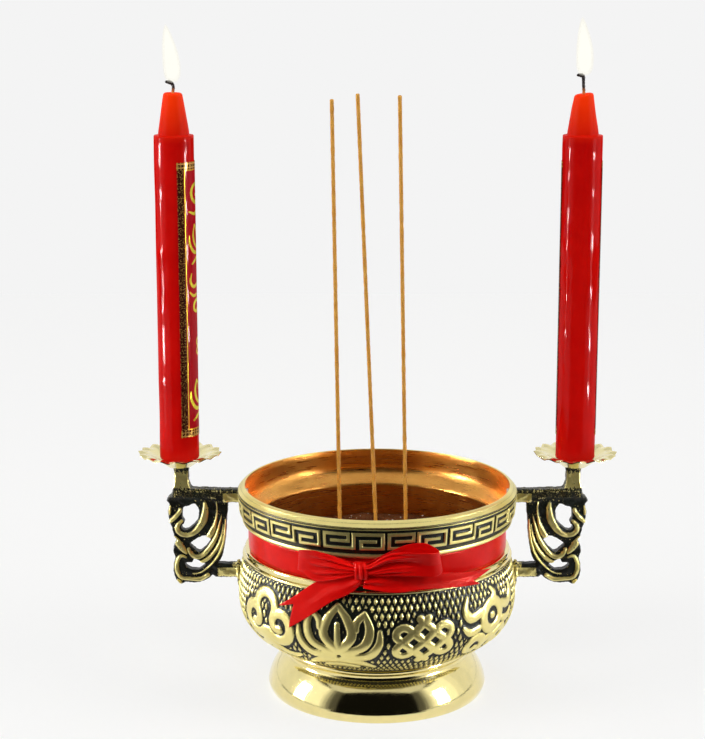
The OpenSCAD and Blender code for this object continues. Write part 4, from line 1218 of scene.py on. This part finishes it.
def potEnvelope(z):
    # outermost radius that a ribbon bridging from the neck to the belly rests on
    return np.interp(z - footTop, [26, 32, 38, 44, 50, 54, 60, 66, 69.5, 74, 80],
        [75.2, 75.5, 75.4, 74.7, 73.2, 71.9, 71.0, 71.8, 73.2, 75.0, 75.6])


def ribbonSheet(name, upper, lower, steps, widthSteps, wrinkles=None, cut=None):
    # a strip between two edges of (x, height over the pot, z over the foot), with wrinkles and a cut end
    edges = [catmull(e, steps) for e in (lower, upper)]
    rows = len(edges[0])
    u, v = np.linspace(0, 1, rows), np.linspace(-1, 1, widthSteps)
    uu, vv = np.meshgrid(u, v, indexing="ij")
    along = uu if cut is None else uu * (1 - cut[0]
        * np.clip(1 - np.where(vv > cut[1], (vv - cut[1]) / (1 - cut[1]), (cut[1] - vv) / (1 + cut[1])), 0,
            1))
    side = (vv + 1) / 2
    x, off, z = [np.interp(along, u, edges[0][:, k]) * (1 - side) + np.interp(along, u, edges[1][:, k])
        * side for k in range(3)]
    if wrinkles is not None:
        off = off + wrinkles(along, vv)
    z = z + footTop
    y = -np.sqrt(np.maximum((potEnvelope(z) + off) ** 2 - x ** 2, 1.0))
    mid = np.stack([x, y, z], -1)
    du, dv = np.gradient(mid, axis=0), np.gradient(mid, axis=1)
    normal = np.cross(du, dv)
    normal /= np.maximum(np.linalg.norm(normal, axis=-1, keepdims=True), 1e-9)
    half = ribbonSet["thick"] / 2
    verts = np.concatenate([(mid + half * normal).reshape(-1, 3), (mid - half * normal).reshape(-1, 3)])
    face = gridFaces(rows, widthSteps, closeCols=False)
    n = rows * widthSteps
    edge = np.concatenate([np.arange(widthSteps), (np.arange(1, rows) + 1) * widthSteps - 1,
        n - 2 - np.arange(widthSteps - 1), (rows - 2 - np.arange(rows - 2)) * widthSteps])
    rim = [(edge[k], edge[k - 1], edge[k - 1] + n, edge[k] + n) for k in range(len(edge))]
    faces = [tuple(f) for f in face] + [tuple(f[::-1] + n) for f in face] + rim
    obj = makeMesh(name, verts * mm, faces, 180, [satin])
    addPiece(obj, "root", "red_satin", "ribbon_bow")
    long = np.linalg.norm(np.diff(mid, axis=0), axis=-1).sum(0).mean()
    area = (np.linalg.norm(np.cross(du, dv), axis=-1)).sum()
    print(name, "length", round(float(long), 1), "mean width", round(float(area / long), 1))
    return obj, float(long) * mm, float(area / long) * mm


def buildBand():
    # ribbon round the neck, a little slack, with fine creases near the knot
    rows, cols = 9, 420
    a = np.arange(cols) * 2 * math.pi / cols
    v = np.linspace(-1, 1, rows)
    low, high = [c.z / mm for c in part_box("ribbon_band")]
    vv, aa = np.meshgrid(v, a, indexing="ij")
    fromKnot = np.abs((aa - math.radians(-7) + math.pi) % (2 * math.pi) - math.pi)
    crease = 0.35 * np.sin(vv * 6 + 2 * aa) * np.exp(-(fromKnot / 0.35) ** 2)
    slack = 0.12 * np.sin(aa * 5 + 1) + 0.10 * np.sin(aa * 11 + 3 * vv)
    radius = ribbonSet["neck"] + 0.42 + 0.2 * (1 - vv ** 2) + np.abs(crease) + slack * 0.8 + 0.1
    z = (low + high) / 2 - 0.1 + vv * 6.85 + 0.1 * np.sin(aa * 3)
    shells = [np.stack([(radius + s) * np.sin(aa), -(radius + s) * np.cos(aa), z], -1).reshape(-1, 3)
        for s in (0.13, -0.13)]
    n = rows * cols
    face = gridFaces(rows, cols)
    rim = [(k, (k + 1) % cols, (k + 1) % cols + n, k + n)[::-1] for k in range(cols)]
    rim += [(n - cols + k, n - cols + (k + 1) % cols, 2 * n - cols + (k + 1) % cols, 2 * n - cols + k)
        for k in range(cols)]
    faces = [tuple(f) for f in face] + [tuple(f[::-1] + n) for f in face] + rim
    obj = makeMesh("ribbonBand", np.concatenate(shells) * mm, faces, 180, [satin])
    addPiece(obj, "root", "red_satin", "ribbon_band")


def buildBow():
    ridge = lambda v, at, wide: np.exp(-((v - at) / wide) ** 2)
    # left loop: out along the band, round the fold and back in front, drawn together at the knot
    loopL, long, wide = ribbonSheet("ribbonLoopLeft",
        [(-10, 1.4, 65.4), (-18, 0.7, 67.8), (-28, 0.5, 69.6), (-37, 0.5, 70.0), (-40.4, 1.2, 69.9),
            (-37.5, 2.3, 71.2), (-32, 2.5, 71.6), (-24, 3.0, 69.9), (-17, 3.8, 67.4), (-11, 4.6, 65.6)],
        [(-10, 1.4, 61.8), (-18, 0.7, 59.2), (-28, 0.5, 57.6), (-38, 0.6, 57.9), (-41.2, 1.4, 58.6),
            (-39, 2.4, 58.3), (-32.4, 2.7, 55.0), (-24, 3.2, 57.0), (-17, 3.9, 59.4), (-11, 4.6, 61.4)],
        8, 41, lambda u,
        v: 0.6 * np.sin(9.5 * v + 0.8 + 2 * u) * np.exp(-u / 0.12)
        + (1.2 * np.sin(11 * v + 1.4 - 1.5 * u) + 0.5 * np.sin(23 * v)) * smoothStep(0.58, 0.85, u)
        * (1 - 0.55 * smoothStep(0.93, 1, u)) + 0.9 * ridge(v, 0.25, 0.35) * smoothStep(0.5, 0.9, u))
    # right loop: stands proud of the collar and ends in a round fold
    loopR, long, wide = ribbonSheet("ribbonLoopRight",
        [(-7, 1.6, 66.0), (3, 1.4, 72.0), (13, 1.6, 76.6), (22, 2.4, 77.4), (27.4, 4.2, 75.4),
            (30.2, 6.0, 73.2), (29.2, 8.0, 73.0), (25.6, 8.8, 73.6), (20, 7.4, 73.6), (12, 6.6, 74.2),
            (5, 6.4, 73.6), (0, 6.0, 70.6), (-4, 5.4, 67.2), (-8, 4.8, 65.8)],
        [(-7, 1.6, 62.0), (3, 1.2, 61.8), (13, 1.4, 61.8), (22, 2.2, 61.4), (28.4, 4.0, 61.4),
            (32.0, 6.0, 62.2), (31.2, 8.0, 60.6), (27.6, 8.8, 59.6), (21, 7.8, 60.2), (12, 7.0, 60.9),
            (5, 6.4, 61.0), (0, 5.8, 60.8), (-4, 5.2, 60.9), (-8, 4.8, 61.2)],
        8, 45, lambda u,
        v: (1.9 * ridge(v, 0.45, 0.28) - 2.0 * ridge(v, 0.05, 0.16) + 1.5 * ridge(v, -0.5, 0.22) + 0.45
            * np.sin(21 * v + 3 * u)) * smoothStep(0.60, 0.78, u) * (1 - 0.6 * smoothStep(0.92, 1.0, u))
        - 1.1 * ridge(v, 0.1, 0.7) * ridge(u, 0.66, 0.07) + 0.8 * np.sin(8 * v) * np.exp(-u / 0.1))
    tailL, long, wide = ribbonSheet("ribbonTailLeft",
        [(-10.6, 4.2, 62.0), (-17, 3.9, 59.8), (-24, 3.2, 58.0), (-32.6, 1.9, 53.8), (-42, 1.0, 46.1),
            (-51.4, 0.7, 38.4)],
        [(-8.3, 4.0, 56.4), (-12.5, 3.2, 52.2), (-17.5, 2.3, 49.0), (-24.5, 1.4, 45.2), (-35, 0.8, 36.6),
            (-45.9, 0.5, 27.4)],
        14, 27, lambda u,
        v: (1.5 * ridge(v, -0.35, 0.28) - 0.8 * ridge(v, 0.25, 0.3)) * np.exp(-u / 0.32)
        * smoothStep(0, 0.08, u) + 0.25 * np.sin(6 * u + 2 * v), cut=(0.14, 0.5))
    tailR, long, wide = ribbonSheet("ribbonTailRight",
        [(-7, 4.0, 59.8), (2, 3.8, 60.8), (10, 3.0, 60.8), (27.8, 2.0, 59.5), (48.9, 1.5, 55.8),
            (58.8, 1.3, 54.0)],
        [(-8, 4.0, 54.0), (-2, 3.6, 52.8), (9, 2.2, 51.2), (22.4, 1.6, 51.7), (38, 1.1, 50.2),
            (52.4, 0.9, 48.7)],
        14, 27, lambda u,
        v: (1.3 * np.sin(6 * v + 1)) * np.exp(-u / 0.16) * smoothStep(0, 0.05, u) + 0.45
        * ridge(v, 0.2, 0.5) * np.sin(5.5 * u) + 0.3 * np.sin(9 * u + 3 * v), cut=(0.11, -0.25))
    # knot: a short wrap over the gathers, and the fold that hangs under it
    knot, long, wide = ribbonSheet("ribbonKnot",
        [(-6.6, 1.0, 66.8), (-6.3, 4.4, 66.6), (-6.0, 6.6, 64.4), (-5.9, 7.0, 61.6), (-5.8, 5.4, 58.8),
            (-6.0, 2.0, 58.2)],
        [(-12.2, 1.0, 67.2), (-12.6, 4.0, 67.0), (-12.5, 6.2, 64.6), (-12.3, 6.4, 61.2), (-12.1, 4.8, 58.4),
            (-12.0, 1.6, 58.0)],
        9, 21, lambda u,
        v: (0.5 * np.sin(8 * v + 1) - 0.9 * v ** 2 - 0.7 * ridge(v, 0.35, 0.15)) * np.sin(math.pi * u))


buildBand()
buildBow()
print("ribbon ready")
